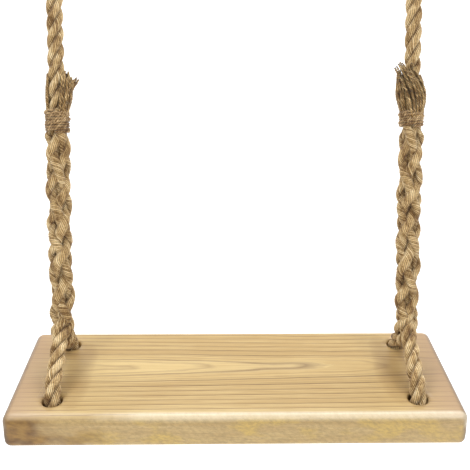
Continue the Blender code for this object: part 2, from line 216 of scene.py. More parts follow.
# ---------------------------------------------------------------- meshes
class Skin:
    """Surfaces gathered into one mesh: points, faces, a lay map and two values at each point.

    The map's first number counts yarns round a strand and its second is millimetres along it.
    "groove" is painted shade, 0 on a crest and 1 deep in a groove, and "tone" is a strand's own tone.
    """

    def __init__(self) -> None:
        """Start with no surface."""
        self.points: list[Array] = []
        self.corners: list[Array] = []
        self.sizes: list[Array] = []
        self.lay: list[Array] = []
        self.groove: list[Array] = []
        self.tone: list[Array] = []
        self.count = 0

    def _faces(self, corners: Array, lay: Array) -> None:
        """Add faces.

        Args:
            corners: (faces, corners) point numbers.
            lay: (faces, corners, 2) the map at each.
        """
        self.corners.append((corners + self.count).ravel())
        self.sizes.append(np.full(len(corners), corners.shape[1]))
        self.lay.append(lay.reshape(-1, 2))

    def tube(self, rings: Array, lay: Array | None = None, groove: Array | None = None,
             tone: float = 0.5, closed: bool = False) -> None:
        """Add a tube: quads between neighbouring rings, and a fan of triangles over each end.

        Args:
            rings: (n, m, 3) points, each ring running right-handed about the tube's direction.
            lay: (n, m + 1, 2) map, with the first column repeated one lap on.
            groove: (n, m) painted shade at each point, 0 on a crest and 1 deep in a groove.
            tone: the shade of the whole tube.
            closed: join the last ring to the first one instead of covering the ends.
        """
        n, m = rings.shape[:2]
        if lay is None:
            across, along = np.meshgrid(np.linspace(0, 1, m + 1), np.arange(n, dtype=float))
            lay = np.stack([across, along], axis=2)
        if groove is None:
            groove = np.zeros((n, m))
        spans = n if closed else n - 1
        i = np.repeat(np.arange(spans), m)
        j = np.tile(np.arange(m), spans)
        k, following = (i + 1) % n, (j + 1) % m
        quads = np.stack([i * m + j, i * m + following, k * m + following, k * m + j], axis=1)
        quad_lay = np.stack([lay[i, j], lay[i, j + 1], lay[k, j + 1], lay[k, j]], axis=1)
        self._faces(quads, quad_lay)
        points = [rings.reshape(-1, 3)]
        hollows = [groove.ravel()]
        if not closed:
            j = np.arange(m)
            following = (j + 1) % m
            for ring, hub, fan in ((0, n * m, (following, j)), (n - 1, n * m + 1, (j, following))):
                hubs = np.full(m, hub)
                fans = np.stack([hubs, ring * m + fan[0], ring * m + fan[1]], axis=1)
                middle = np.repeat(lay[ring].mean(axis=0)[None], m, axis=0)
                self._faces(fans, np.stack([middle, lay[ring, fan[0]], lay[ring, fan[1]]], axis=1))
                points.append(rings[ring].mean(axis=0)[None])
                hollows.append(groove[ring].mean()[None])
        self.points.append(np.concatenate(points))
        self.groove.append(np.concatenate(hollows))
        added = len(self.points[-1])
        self.tone.append(np.full(added, tone))
        self.count += added

    def piece(self, name: str, finish: bpy.types.Material) -> bpy.types.Object:
        """Put the gathered surfaces into a smoothly shaded mesh object at the origin.

        Args:
            name: the object's name.
            finish: its material.

        Returns:
            The new object, linked to the scene.
        """
        mesh = bpy.data.meshes.new(name)
        points = np.concatenate(self.points)
        corners = np.concatenate(self.corners).astype(np.int32)
        sizes = np.concatenate(self.sizes)
        starts = np.concatenate([[0], np.cumsum(sizes)[:-1]]).astype(np.int32)
        mesh.vertices.add(len(points))
        mesh.vertices.foreach_set("co", points.astype(np.float32).ravel())
        mesh.loops.add(len(corners))
        mesh.loops.foreach_set("vertex_index", corners)
        mesh.polygons.add(len(sizes))
        mesh.polygons.foreach_set("loop_start", starts)
        mesh.polygons.foreach_set("use_smooth", np.ones(len(sizes), bool))
        mesh.update(calc_edges=True)
        lay = mesh.uv_layers.new(name="lay")
        lay.uv.foreach_set("vector", np.concatenate(self.lay).astype(np.float32).ravel())
        for label, values in (("groove", self.groove), ("tone", self.tone)):
            stored = mesh.attributes.new(label, "FLOAT", "POINT")
            stored.data.foreach_set("value", np.concatenate(values).astype(np.float32))
        mesh.validate()
        mesh.materials.append(finish)
        return show(name, mesh)


def show(name: str, mesh: bpy.types.Mesh) -> bpy.types.Object:
    """Link a new object at the origin.

    Args:
        name: the object's name.
        mesh: what it holds.

    Returns:
        The object.
    """
    piece = bpy.data.objects.new(name, mesh)
    bpy.context.scene.collection.objects.link(piece)
    return piece


def dress(piece: bpy.types.Object, body: str, slot: Slot, *nodes: str) -> bpy.types.Object:
    """Attach a piece to its body, hide and name what it stands in for, and log it.

    Args:
        piece: the finished piece.
        body: the body that it rides.
        slot: its material slot; not used.
        nodes: the nodes that it replaces.

    Returns:
        The same piece.
    """
    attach(piece, body)
    if nodes:
        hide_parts(*nodes)
    LOG.info("%s: %d faces on %s, for %s", piece.name, len(piece.data.polygons), body,
             ", ".join(nodes) or "no node")
    return piece


def turned(profile: Array, around: int, centre: Array) -> Array:
    """Rings of a profile turned about an upright axis through a centre.

    A profile point (r, h) becomes centre + (r cos a, r sin a, h).

    Args:
        profile: (n, 2) radius and height, upwards for faces that point out.
        around: points in each ring.
        centre: the axis's origin.

    Returns:
        (n, around, 3) points.
    """
    angle = np.linspace(0.0, TAU, around, endpoint=False)
    radius, height = profile[:, :1], profile[:, 1:]
    rings = np.stack([radius * np.cos(angle), radius * np.sin(angle),
                      height + 0 * angle], axis=2)
    return rings + np.asarray(centre)


# ---------------------------------------------------------------- shader arithmetic
class Wire:
    """A shader socket that can stand in an expression: each operator adds one Math node."""

    def __init__(self, tree: bpy.types.NodeTree, socket: bpy.types.NodeSocket) -> None:
        """Wrap an output socket of a node tree."""
        self.tree = tree
        self.socket = socket

    def _math(self, operation: str, first: Any, second: Any = None) -> "Wire":
        """Add a Math node.

        Args:
            operation: what it works out.
            first: a wire or a number.
            second: another, for an operation on two.

        Returns:
            Its result.
        """
        node = self.tree.nodes.new("ShaderNodeMath")
        node.operation = operation
        for place, value in enumerate((first, second)):
            if isinstance(value, Wire):
                self.tree.links.new(value.socket, node.inputs[place])
            elif value is not None:
                node.inputs[place].default_value = value
        return Wire(self.tree, node.outputs[0])

    def __add__(self, other: Any) -> "Wire":
        """Sum."""
        return self._math("ADD", self, other)

    def __radd__(self, other: Any) -> "Wire":
        """Sum, the number first."""
        return self._math("ADD", other, self)

    def __sub__(self, other: Any) -> "Wire":
        """Difference."""
        return self._math("SUBTRACT", self, other)

    def __rsub__(self, other: Any) -> "Wire":
        """Difference, the number first."""
        return self._math("SUBTRACT", other, self)

    def __mul__(self, other: Any) -> "Wire":
        """Product."""
        return self._math("MULTIPLY", self, other)

    def __rmul__(self, other: Any) -> "Wire":
        """Product, the number first."""
        return self._math("MULTIPLY", other, self)

    def __truediv__(self, other: Any) -> "Wire":
        """Quotient."""
        return self._math("DIVIDE", self, other)

    def __rtruediv__(self, other: Any) -> "Wire":
        """Quotient, the number first."""
        return self._math("DIVIDE", other, self)

    def __pow__(self, other: Any) -> "Wire":
        """Power."""
        return self._math("POWER", self, other)

    def fraction(self) -> "Wire":
        """What is left after the whole part."""
        return self._math("FRACT", self)

    def whole(self) -> "Wire":
        """The whole part."""
        return self._math("FLOOR", self)

    def size(self) -> "Wire":
        """The value without its sign: the root of its square."""
        return (self * self) ** 0.5


Colour = tuple[float, float, float]


def paint(colour: Colour) -> tuple[float, float, float, float]:
    """A given colour, as the linear colour that a shader takes.

    A share c of 255 becomes c / 12.92 below 0.04045, and ((c + 0.055) / 1.055)^2.4 above it.

    Args:
        colour: red, green and blue, 0 to 255.

    Returns:
        Linear red, green, blue and an opaque alpha.
    """
    share = np.asarray(colour, float) / 255.0
    linear = np.where(share <= 0.04045, share / 12.92, ((share + 0.055) / 1.055) ** 2.4)
    return (*(float(c) for c in linear), 1.0)


class Recipe:
    """A node material in the making."""

    def __init__(self, name: str) -> None:
        """Start an empty material.

        Args:
            name: the material's name.
        """
        self.material = bpy.data.materials.new(name)
        self.material.use_nodes = True
        self.tree = self.material.node_tree
        self.tree.nodes.clear()

    def node(self, kind: str, settings: dict[str, Any], inputs: dict[Any, Any],
             output: int | str = 0) -> Wire:
        """Add a node.

        Args:
            kind: the node's type.
            settings: its properties, set before its sockets.
            inputs: a value or a Wire for each socket, by name or number.
            output: the output wanted.

        Returns:
            That output as a Wire.
        """
        made = self.tree.nodes.new(kind)
        for key, value in settings.items():
            if key == "stops":
                self._stops(made.color_ramp, value)
            else:
                setattr(made, key, value)
        for key, value in inputs.items():
            if isinstance(value, Wire):
                self.tree.links.new(value.socket, made.inputs[key])
            else:
                made.inputs[key].default_value = value
        return Wire(self.tree, made.outputs[output])

    @staticmethod
    def _stops(ramp: bpy.types.ColorRamp, stops: Sequence[tuple[float, Any]]) -> None:
        """Give a ramp its stops.

        Args:
            ramp: the node's ramp.
            stops: a place and a colour or a grey for each.
        """
        while len(ramp.elements) < len(stops):
            ramp.elements.new(0.5)
        for element, (place, colour) in zip(ramp.elements, stops):
            element.position = place
            grey = isinstance(colour, (int, float))
            element.color = (colour, colour, colour, 1.0) if grey else paint(colour)

    def ramp(self, factor: Wire, stops: Sequence[tuple[float, Any]]) -> Wire:
        """A colour ramp."""
        return self.node("ShaderNodeValToRGB", {"stops": stops}, {"Fac": factor})

    def mix(self, factor: Any, first: Any, second: Any) -> Wire:
        """Mix two colours.

        Args:
            factor: 0 for the first, 1 for the second.
            first: a wire or a linear colour.
            second: another.

        Returns:
            The mixed colour.
        """
        chosen = {0: factor, 6: first, 7: second}
        return self.node("ShaderNodeMix", {"data_type": "RGBA"}, chosen, 2)

    def place(self) -> Wire:
        """Where a point is, in the object's own frame."""
        return self.node("ShaderNodeTexCoord", {}, {}, "Object")

    def value(self, name: str) -> Wire:
        """A value stored at the mesh's points."""
        return self.node("ShaderNodeAttribute", {"attribute_name": name}, {}, "Fac")

    def split(self, vector: Wire) -> tuple[Wire, Wire, Wire]:
        """The three numbers of a vector.

        Args:
            vector: a wire with x, y and z.

        Returns:
            A wire for each.
        """
        node = self.tree.nodes.new("ShaderNodeSeparateXYZ")
        self.tree.links.new(vector.socket, node.inputs[0])
        return tuple(Wire(self.tree, socket) for socket in node.outputs)

    def join(self, x: Any, y: Any, z: Any) -> Wire:
        """A vector from three numbers."""
        return self.node("ShaderNodeCombineXYZ", {}, {0: x, 1: y, 2: z})

    def noise(self, vector: Wire, scale: float, detail: float = 3.0, rough: float = 0.55) -> Wire:
        """Soft noise.

        Args:
            vector: where it is read.
            scale: how many lumps to the metre.
            detail: how many finer layers it has.
            rough: how strong they are.

        Returns:
            Its value, 0 to 1.
        """
        return self.node("ShaderNodeTexNoise", {},
                         {"Vector": vector, "Scale": scale, "Detail": detail, "Roughness": rough})

    def bump(self, height: Wire, distance: float, strength: float = 1.0) -> Wire:
        """A bumped normal.

        Args:
            height: the relief, 0 to 1.
            distance: how far 1 stands proud, in metres.
            strength: how much of it shows.

        Returns:
            The normal.
        """
        inputs = {"Height": height, "Distance": distance, "Strength": strength}
        return self.node("ShaderNodeBump", {}, inputs)

    def finish(self, **sockets: Any) -> bpy.types.Material:
        """Close the material with a Principled shader.

        Args:
            sockets: its inputs, with spaces in their names written as underscores.

        Returns:
            The finished material.
        """
        inputs = {name.replace("_", " "): value for name, value in sockets.items()}
        shader = self.node("ShaderNodeBsdfPrincipled", {}, inputs)
        output = self.tree.nodes.new("ShaderNodeOutputMaterial")
        self.tree.links.new(shader.socket, output.inputs["Surface"])
        return self.material


# ---------------------------------------------------------------- finishes
@dataclass(frozen=True)
class HempFinish:
    """Golden hemp: yarns that differ in shade, fine fibres along them, and painted shade in the
    grooves.
    """

    name: str = "golden_hemp"
    pale: Colour = (248, 224, 176)
    gold: Colour = (202, 169, 114)
    brown: Colour = (118, 85, 44)
    # colour of the painted shade in the grooves
    hollow: Colour = (84, 55, 24)
    relief: float = 0.5 * MM

    def make(self) -> bpy.types.Material:
        """Build the material.

        The colour runs from brown to gold to pale with the yarn's own shade, a streaked noise and
        fine specks, then sinks to a dark painted shade as "groove" rises.

        Returns:
            The material.
        """
        r = Recipe(self.name)
        lay = r.node("ShaderNodeUVMap", {"uv_map": "lay"}, {})
        across, along, _ = r.split(lay)
        yarn = r.node("ShaderNodeTexWhiteNoise", {"noise_dimensions": "2D"},
                      {"Vector": r.join(across.whole(), r.value("tone") * 57.0, 0.0)}, "Value")
        streak = r.noise(r.join(across * 5.0, along * 0.16, r.value("tone") * 9.0), 1.0, 5.0, 0.75)
        fine = r.noise(r.join(across * 14.0, along * 0.45, r.value("tone") * 5.0), 1.0, 3.0, 0.7)
        patch = r.noise(r.place(), 75.0, 3.0, 0.6)
        speck = r.noise(r.place(), 620.0, 2.0, 0.6)
        groove = r.value("groove")
        shade = (streak + yarn * 0.42 + fine * 0.65 + patch * 1.1 + speck * 0.5) - 1.36
        body = r.ramp(shade, ((0.20, self.brown), (0.50, self.gold), (0.82, self.pale)))
        # painted shade: the colour sinks towards the dark shade colour where "groove" is high
        depth = groove + (0.5 - speck) * 0.35
        sunk = r.mix(r.ramp(depth, ((0.12, 0.0), (0.55, 0.62), (1.0, 1.0))), body,
                     paint(self.hollow))
        roughness = 0.72 + fine * 0.2
        height = fine * 0.5 + streak * 0.5 + speck * 0.4
        return r.finish(Base_Color=sunk, Roughness=roughness,
                        Normal=r.bump(height, self.relief, 0.9),
                        Specular_IOR_Level=0.3, Sheen_Weight=0.25, Sheen_Roughness=0.5)


@dataclass(frozen=True)
class FibreFinish:
    """Loose fibres that stand off the rope."""

    name: str = "loose_fibre"
    pale: Colour = (240, 216, 170)
    brown: Colour = (178, 138, 84)

    def make(self) -> bpy.types.Material:
        """Build the material: each fibre's shade lies between brown and pale.

        Returns:
            The material.
        """
        r = Recipe(self.name)
        colour = r.ramp(r.value("tone") + r.noise(r.place(), 300.0) * 0.3 - 0.15,
                        ((0.0, self.brown), (1.0, self.pale)))
        return r.finish(Base_Color=colour, Roughness=0.8, Specular_IOR_Level=0.2)


@dataclass(frozen=True)
class OiledWood:
    """Oiled ash: growth lines of a trunk whose pith runs under the board, flecks and pores."""

    middle: tuple[float, float, float]
    name: str = "oiled_ash"
    pale: Colour = (200, 174, 119)
    honey: Colour = (178, 148, 92)
    # brown: the colour of the painted shadow beside each rope
    brown: Colour = (122, 88, 38)
    stain: Colour = (96, 62, 18)
    amber: Colour = (150, 112, 46)
    line: Colour = (92, 62, 32)
    dusk: Colour = (92, 68, 42)
    yellow: Colour = (192, 160, 80)
    olive: Colour = (140, 118, 74)
    rosy: Colour = (168, 138, 108)
    # colour of the painted highlight along the upper front edge
    worn: Colour = (236, 224, 198)
    ring: float = 6.5 * MM           # from one growth line to the next
    pith_depth: float = 12.9 * MM    # under the board's middle
    pith_dip: float = 0.020          # rise of the pith for each metre along the board
    pith_aside: float = 6.0 * MM     # towards the back
    rub_aside: float = 0.164         # from the board's middle to a painted rope shadow

    def make(self) -> bpy.types.Material:
        """Build the material.

        The distance from a pith that dips along the board, over the ring's width, counts the
        rings. Its fraction sets a thin dark line on each, and thrice it sets fainter ones. The
        front and back edges have a curled pattern instead, the ends are darker, a painted shadow
        of each rope lies on the top beside its holes, and a painted highlight lies along the
        upper front edge.

        Returns:
            The material.
        """
        r = Recipe(self.name)
        board = r.node("ShaderNodeMapping", {"vector_type": "TEXTURE"},
                       {"Vector": r.place(), "Location": self.middle,
                        "Rotation": (SEAT_TILT, 0.0, 0.0)})
        x, y, z = r.split(board)
        slow = r.noise(r.join(x * 5.0, y * 16.0, z * 16.0), 1.0, 2.0) - 0.5
        quick = r.noise(r.join(x * 22.0, y * 120.0, z * 120.0), 1.0, 3.0) - 0.5
        aside = y - self.pith_aside + slow * 0.006
        below = z + self.pith_depth + x * self.pith_dip + slow * 0.004
        rings = (aside ** 2.0 + below ** 2.0) ** 0.5 / self.ring + quick * 0.12 + slow * 0.3
        band = r.ramp(rings.fraction(), ((0.0, 0.08), (0.40, 0.0), (0.80, 0.14), (0.88, 1.0),
                                         (0.94, 0.24), (1.0, 0.08)))
        faint = r.ramp((rings * 3.0 + quick * 0.4).fraction(), ((0.55, 0.0), (0.85, 1.0), (1.0, 0.0)))
        shade = r.node("ShaderNodeTexWhiteNoise", {"noise_dimensions": "1D"},
                       {"W": rings.whole()}, "Value")
        grain = r.noise(r.join(x * 16.0, y * 460.0, z * 460.0), 1.0, 5.0, 0.7)
        pore = r.noise(r.join(x * 60.0, y * 1500.0, z * 1500.0), 1.0, 2.0, 0.5)
        pores = r.ramp(pore, ((0.60, 0.0), (0.70, 1.0))) * (0.35 + band * 0.65)
        cloud = r.noise(r.join(x * 9.0, y * 22.0, z * 22.0), 1.0, 3.0)
        face = r.ramp(y.size() * 10.0, ((0.745, 0.0), (0.775, 1.0)))
        flat = 1.0 - face * 0.85
        ground = r.mix(r.ramp(cloud * 0.5 + grain * 0.9 + shade * 0.3,
                              ((0.58, 0.0), (1.08, 1.0))), paint(self.pale), paint(self.honey))
        streaked = r.mix(faint * flat * 0.32, ground, paint(self.line))
        lined = r.mix(band * flat * (0.34 + shade * 0.45 + grain * 0.6), streaked, paint(self.line))
        pored = r.mix(pores * 0.45, lined, paint(self.dusk))
        curl = r.noise(r.join(x * 210.0 + z * 150.0, y * 60.0, z * 360.0), 1.0, 5.0, 0.8)
        blotch = r.noise(r.join(x * 18.0, y * 24.0, z * 36.0), 1.0, 3.0)
        warm = r.mix(face * r.ramp(blotch, ((0.50, 0.0), (0.60, 1.0))) * 0.85, pored,
                     paint(self.yellow))
        olive = r.mix(face * r.ramp(curl, ((0.42, 0.0), (0.62, 1.0))) * 0.62, warm,
                      paint(self.olive))
        far = r.ramp(x.size() * 4.0, ((0.66, 0.0), (0.92, 1.0)))
        rosy = r.mix(far * flat * 0.90, olive, paint(self.rosy))
        # painted shadow of each rope: a soft brown patch beside its holes
        apart = (x.size() - self.rub_aside) * 60.0
        rope_shadow = r.ramp(apart ** 2.0 + (y * 15.0) ** 2.0 + (blotch - 0.5) * 1.2,
                     ((0.0, 1.0), (1.0, 0.0)))
        rope_shadowed = r.mix(rope_shadow * flat * 0.42, rosy, paint(self.brown))
        # darker towards the board's two ends
        ends = r.ramp(x.size() * 4.0, ((0.880, 0.0), (0.904, 1.0)))
        corner = face * r.ramp(x * -4.0 + (blotch - 0.5), ((0.55, 0.0), (0.80, 1.0)))
        stain = r.noise(r.join(x * 70.0 + z * 40.0, y * 60.0, z * 150.0), 1.0, 4.0, 0.6)
        patched = r.mix(corner * 0.92, rope_shadowed,
                        r.ramp(stain, ((0.38, self.stain), (0.72, self.amber))))
        dim = r.mix(ends * 0.8, patched, paint(self.dusk))
        # painted highlight: a pale band along the upper front round-over, weaker towards the left end
        eased = r.ramp(y * -10.0, ((0.690, 0.0), (0.730, 1.0), (0.768, 0.8), (0.786, 0.0)))
        along = r.ramp(x * 2.0 + 0.5 + (blotch - 0.5) * 0.3, ((0.16, 0.15), (0.34, 1.0)))
        upper = r.ramp(z * 40.0, ((0.05, 0.0), (0.30, 1.0)))
        with_painted_highlight = r.mix(eased * along * upper * (0.85 - curl * 0.6), dim, paint(self.worn))
        roughness = 0.40 + grain * 0.14 + band * 0.06
        height = grain * 0.5 - pores * 0.9 - band * 0.35
        return r.finish(Base_Color=with_painted_highlight, Roughness=roughness,
                        Normal=r.bump(height, 0.15 * MM, 0.6), Specular_IOR_Level=0.5,
                        Coat_Weight=0.3 - corner * 0.3, Coat_Roughness=0.22)


@dataclass(frozen=True)
class SteelFinish:
    """Steel: a spangled zinc coat or plain bright wire, with scratches and dull patches."""

    name: str
    pale: Colour
    dull: Colour
    spangle: float
    roughness: float

    def make(self) -> bpy.types.Material:
        """Build the material: cells of the coat shift the colour and the roughness.

        Returns:
            The material.
        """
        r = Recipe(self.name)
        cells = r.node("ShaderNodeTexVoronoi", {}, {"Vector": r.place(), "Scale": self.spangle},
                       "Color")
        cell = r.split(cells)[0]
        cloud = r.noise(r.place(), 60.0, 4.0)
        fine = r.noise(r.place(), 900.0, 3.0)
        colour = r.mix(cell * 0.5 + cloud * 0.5, paint(self.dull), paint(self.pale))
        roughness = self.roughness + cell * 0.10 + cloud * 0.14
        return r.finish(Base_Color=colour, Metallic=1.0, Roughness=roughness,
                        Normal=r.bump(fine * 0.5 + cloud, 0.08 * MM, 0.5))


@dataclass(frozen=True)
class PaperFinish:
    """Matt pale paper of the studio's sweep."""

    name: str = "pale_paper"
    shade: float = 0.93

    def make(self) -> bpy.types.Material:
        """Build the material, with a trace of mottle.

        Returns:
            The material.
        """
        r = Recipe(self.name)
        mottle = r.ramp(r.noise(r.place(), 3.0), ((0.0, self.shade), (1.0, self.shade + 0.02)))
        return r.finish(Base_Color=mottle, Roughness=0.95, Specular_IOR_Level=0.1,
                        Emission_Color=(1.0, 1.0, 1.0, 1.0), Emission_Strength=0.35)


@dataclass(frozen=True)
class Looks:
    """The finished materials, by what they cover."""

    hemp: bpy.types.Material
    frayed: bpy.types.Material
    twine: bpy.types.Material
    fibre: bpy.types.Material
    wood: bpy.types.Material
    zinc: bpy.types.Material
    bright: bpy.types.Material

    @classmethod
    def make(cls, board_middle: Vector) -> "Looks":
        """Build every material of the swing.

        Args:
            board_middle: where the wood's pattern is centred.

        Returns:
            The materials.
        """
        # the last colour of each is the painted shade in its grooves
        frayed = HempFinish("frayed_hemp", (250, 218, 158), (168, 129, 70), (80, 51, 20),
                            (34, 20, 8))
        twine = HempFinish("whipping_twine", (250, 226, 184), (206, 172, 122), (118, 86, 48),
                           (70, 46, 22), 0.3 * MM)
        zinc = SteelFinish("zinc_coat", (172, 176, 178), (108, 113, 118), 420.0, 0.34)
        bright = SteelFinish("bright_wire", (186, 188, 190), (118, 121, 125), 160.0, 0.24)
        return cls(HempFinish().make(), frayed.make(), twine.make(), FibreFinish().make(),
                   OiledWood(tuple(board_middle)).make(), zinc.make(), bright.make())


# ---------------------------------------------------------------- strands and ropes
Roots = tuple[Array, Array, Array]   # a strand's middle, its outward directions and those ahead


@dataclass(frozen=True)
class Strand:
    """One strand: an oval bundle of yarns that wind the other way from the rope."""

    thickness: float = 4.15 * MM     # half, out from the rope's middle
    width: float = 4.15 * MM         # half, round the rope
    yarns: int = 10
    relief: float = 0.62 * MM
    yarn_pitch: float = 20.0 * MM
    around: int = 40

    def rings(self, line: Array, outward: Array, swell: Array | float = 1.0,
              flat: Array | float = 0.0) -> tuple[Array, Array, Array]:
        """The strand's surface along a line.

        Column j of the surface follows a yarn at the angle u = 2 pi j / m - 2 pi s / pitch from
        outward. The surface lies thickness cos u out and width sin u aside, less the relief
        times 1 - |sin(n pi j / m)|, so that each of the n yarns is a rounded ridge.

        Args:
            line: (n, 3) the strand's middle.
            outward: (n, 3) directions away from the rope's middle.
            swell: scales the section, one number or one for each point.
            flat: how far the section is pressed flat, one number or one for each point.

        Returns:
            The rings, their map and the painted shade of their grooves.
        """
        ahead = unit(np.gradient(line, axis=0))
        aside = unit(np.cross(ahead, outward))
        out = np.cross(aside, ahead)
        s = travelled(line)[:, None]
        column = np.arange(self.around + 1)[None, :] / self.around
        u = TAU * (column[:, :-1] - s / self.yarn_pitch)
        crest = np.abs(np.sin(math.pi * self.yarns * column[:, :-1]))
        dip = self.relief * (1.0 - crest)
        swell = np.broadcast_to(np.asarray(swell, float), len(line))[:, None]
        flat = np.broadcast_to(np.asarray(flat, float), len(line))[:, None]
        high = (self.thickness * (1.0 - flat) - dip) * swell * np.cos(u)
        wide = (self.width * (1.0 + flat) - dip) * swell * np.sin(u)
        rings = line[:, None] + high[..., None] * out[:, None] + wide[..., None] * aside[:, None]
        # painted shade: darker between yarns and on the side that faces the rope's middle
        hollow = 0.80 * (1.0 - crest) ** 1.4 + 0.62 * ((1.0 - np.cos(u)) / 2.0) ** 1.3
        across = np.broadcast_to(self.yarns * column, (len(line), self.around + 1))
        lay = np.stack([across, np.broadcast_to(s / MM, across.shape)], axis=2)
        return rings, lay, np.clip(hollow, 0.0, 1.0)


@dataclass
class RopeLay:
    """Strands laid round a line, each at an angle and a distance from it."""

    line: Array                      # (n, 3) the rope's middle
    normal: Array                    # the direction that stands square to the line's plane
    strand: Strand = field(default_factory=Strand)

    def __post_init__(self) -> None:
        """Work out the frame: the first direction lies across the line, the second square to both."""
        ahead = unit(np.gradient(self.line, axis=0))
        self.first = unit(np.cross(np.broadcast_to(self.normal, ahead.shape), ahead))
        self.second = np.cross(ahead, self.first)

    def out(self, angle: Array) -> Array:
        """Directions from the middle at the given angles."""
        return np.cos(angle)[:, None] * self.first + np.sin(angle)[:, None] * self.second

    def add(self, skin: Skin, angle: Array, reach: Array | float, swell: Array | float = 1.0,
            flat: Array | float = 0.0, tone: float = 0.5) -> Roots:
        """Add one strand to a skin.

        Args:
            skin: where it goes.
            angle: its angle round the rope at each point.
            reach: its distance from the middle.
            swell: scale of its section.
            flat: how far it is pressed flat.
            tone: its shade.

        Returns:
            Its middle, its outward directions and its directions ahead, for loose fibres.
        """
        outward = self.out(angle)
        reach = np.broadcast_to(np.asarray(reach, float), len(angle))
        middle = self.line + reach[:, None] * outward
        skin.tube(*self.strand.rings(middle, outward, swell, flat), tone=tone)
        return middle, outward, unit(np.gradient(middle, axis=0))


@dataclass
class Fuzz:
    """Loose fibres: thin three-sided tapered hairs that leave the surface at a low angle."""

    seed: int
    thickness: float = 0.13 * MM
    shortest: float = 3.0 * MM
    longest: float = 11.0 * MM
    depth: float = 3.9 * MM          # from a strand's middle to a root
    sunk: float = 0.4 * MM           # how far a root is pushed back under the surface
    steep: float = 0.5               # how far the fibres stand off, 0 to 1

    def grow(self, skin: Skin, strands: Sequence[Roots], low: float, high: float,
             count: int) -> None:
        """Add fibres at random roots between two heights.

        A fibre is root + L (t (a ahead + b out) + t^2 curl), its half-thickness falling by
        three quarters as t goes from 0 to 1.

        Args:
            skin: where they go.
            strands: the strands that they grow on.
            low: no root lies below this height.
            high: no root lies above this height.
            count: how many.
        """
        middles, outward, ahead = (np.concatenate(part) for part in zip(*strands))
        clear = (middles[:, 2] > low) & (middles[:, 2] < high)
        outward, ahead = outward[clear], ahead[clear]
        roots = middles[clear] + self.depth * outward
        draw = np.random.default_rng(self.seed)
        picked = draw.integers(0, len(roots), count)
        lengths = draw.uniform(0.0, 1.0, count) ** 2.2 * (self.longest - self.shortest)
        lengths += self.shortest
        forward = np.where(draw.uniform(size=count) < 0.5, -1.0, 1.0)
        lift = draw.uniform(0.15, 1.0, count) * self.steep
        curls = draw.normal(size=(count, 3)) * 0.35
        tones = draw.uniform(0.0, 1.0, count)
        t = np.array([0.0, 0.35, 0.7, 1.0])[:, None]
        corner = np.array([0.0, TAU / 3, 2 * TAU / 3])
        for k, root in enumerate(picked):
            way = unit(forward[k] * ahead[root] + lift[k] * outward[root])
            line = roots[root] + lengths[k] * (t * way + t ** 2 * curls[k])
            line = line - self.sunk * outward[root]
            one = unit(np.cross(way, outward[root] + 0.01))
            two = np.cross(way, one)
            ring = np.cos(corner)[:, None] * one + np.sin(corner)[:, None] * two
            taper = self.thickness * (1.0 - 0.75 * t)
            skin.tube(line[:, None, :] + taper[:, None] * ring[None], tone=float(tones[k]))


# ---------------------------------------------------------------- rope of one side
@dataclass(frozen=True)
class Yarn:
    """One loose yarn of a fringe, from under the whipping to its cut end."""

    angle: float                     # round the rope, degrees from +x
    height: float                    # above its base
    lean: float                      # sideways travel of its tip along x
    flare: float                     # outward travel of its tip
    belly: float = 0.0               # outward travel half way up
    twist: float = 0.0               # degrees that it turns round the rope
    curl: float = 1.7                # how late its sideways travel comes
    radius: float = 1.15 * MM
    reach: float = 9.4 * MM

    def line(self, x: float, base: float, seed: int) -> tuple[Array, Array]:
        """The yarn's middle and its outward directions.

        Args:
            x: where its rope hangs.
            base: the height of its foot.
            seed: picks its small waves.

        Returns:
            (n, 3) points and (n, 3) directions.
        """
        t = np.linspace(0.0, 1.0, 22)
        draw = np.random.default_rng(seed)
        wave = draw.uniform(-1.0, 1.0, 4)
        angle = np.radians(self.angle + self.twist * t)
        free = np.clip((t * self.height - 9 * MM) / (self.height - 9 * MM), 0.0, 1.0)
        reach = self.reach + self.belly * np.sin(math.pi * free) + self.flare * free ** 1.6
        reach = reach + 0.5 * MM * wave[0] * np.sin(5.0 * free + wave[1])
        aside = self.lean * free ** self.curl + 0.6 * MM * wave[2] * np.sin(6.0 * free) * free
        outward = np.stack([np.cos(angle), np.sin(angle), 0 * t], axis=1)
        line = outward * reach[:, None]
        line[:, 0] += x + aside
        line[:, 2] = base + self.height * t
        return line, outward


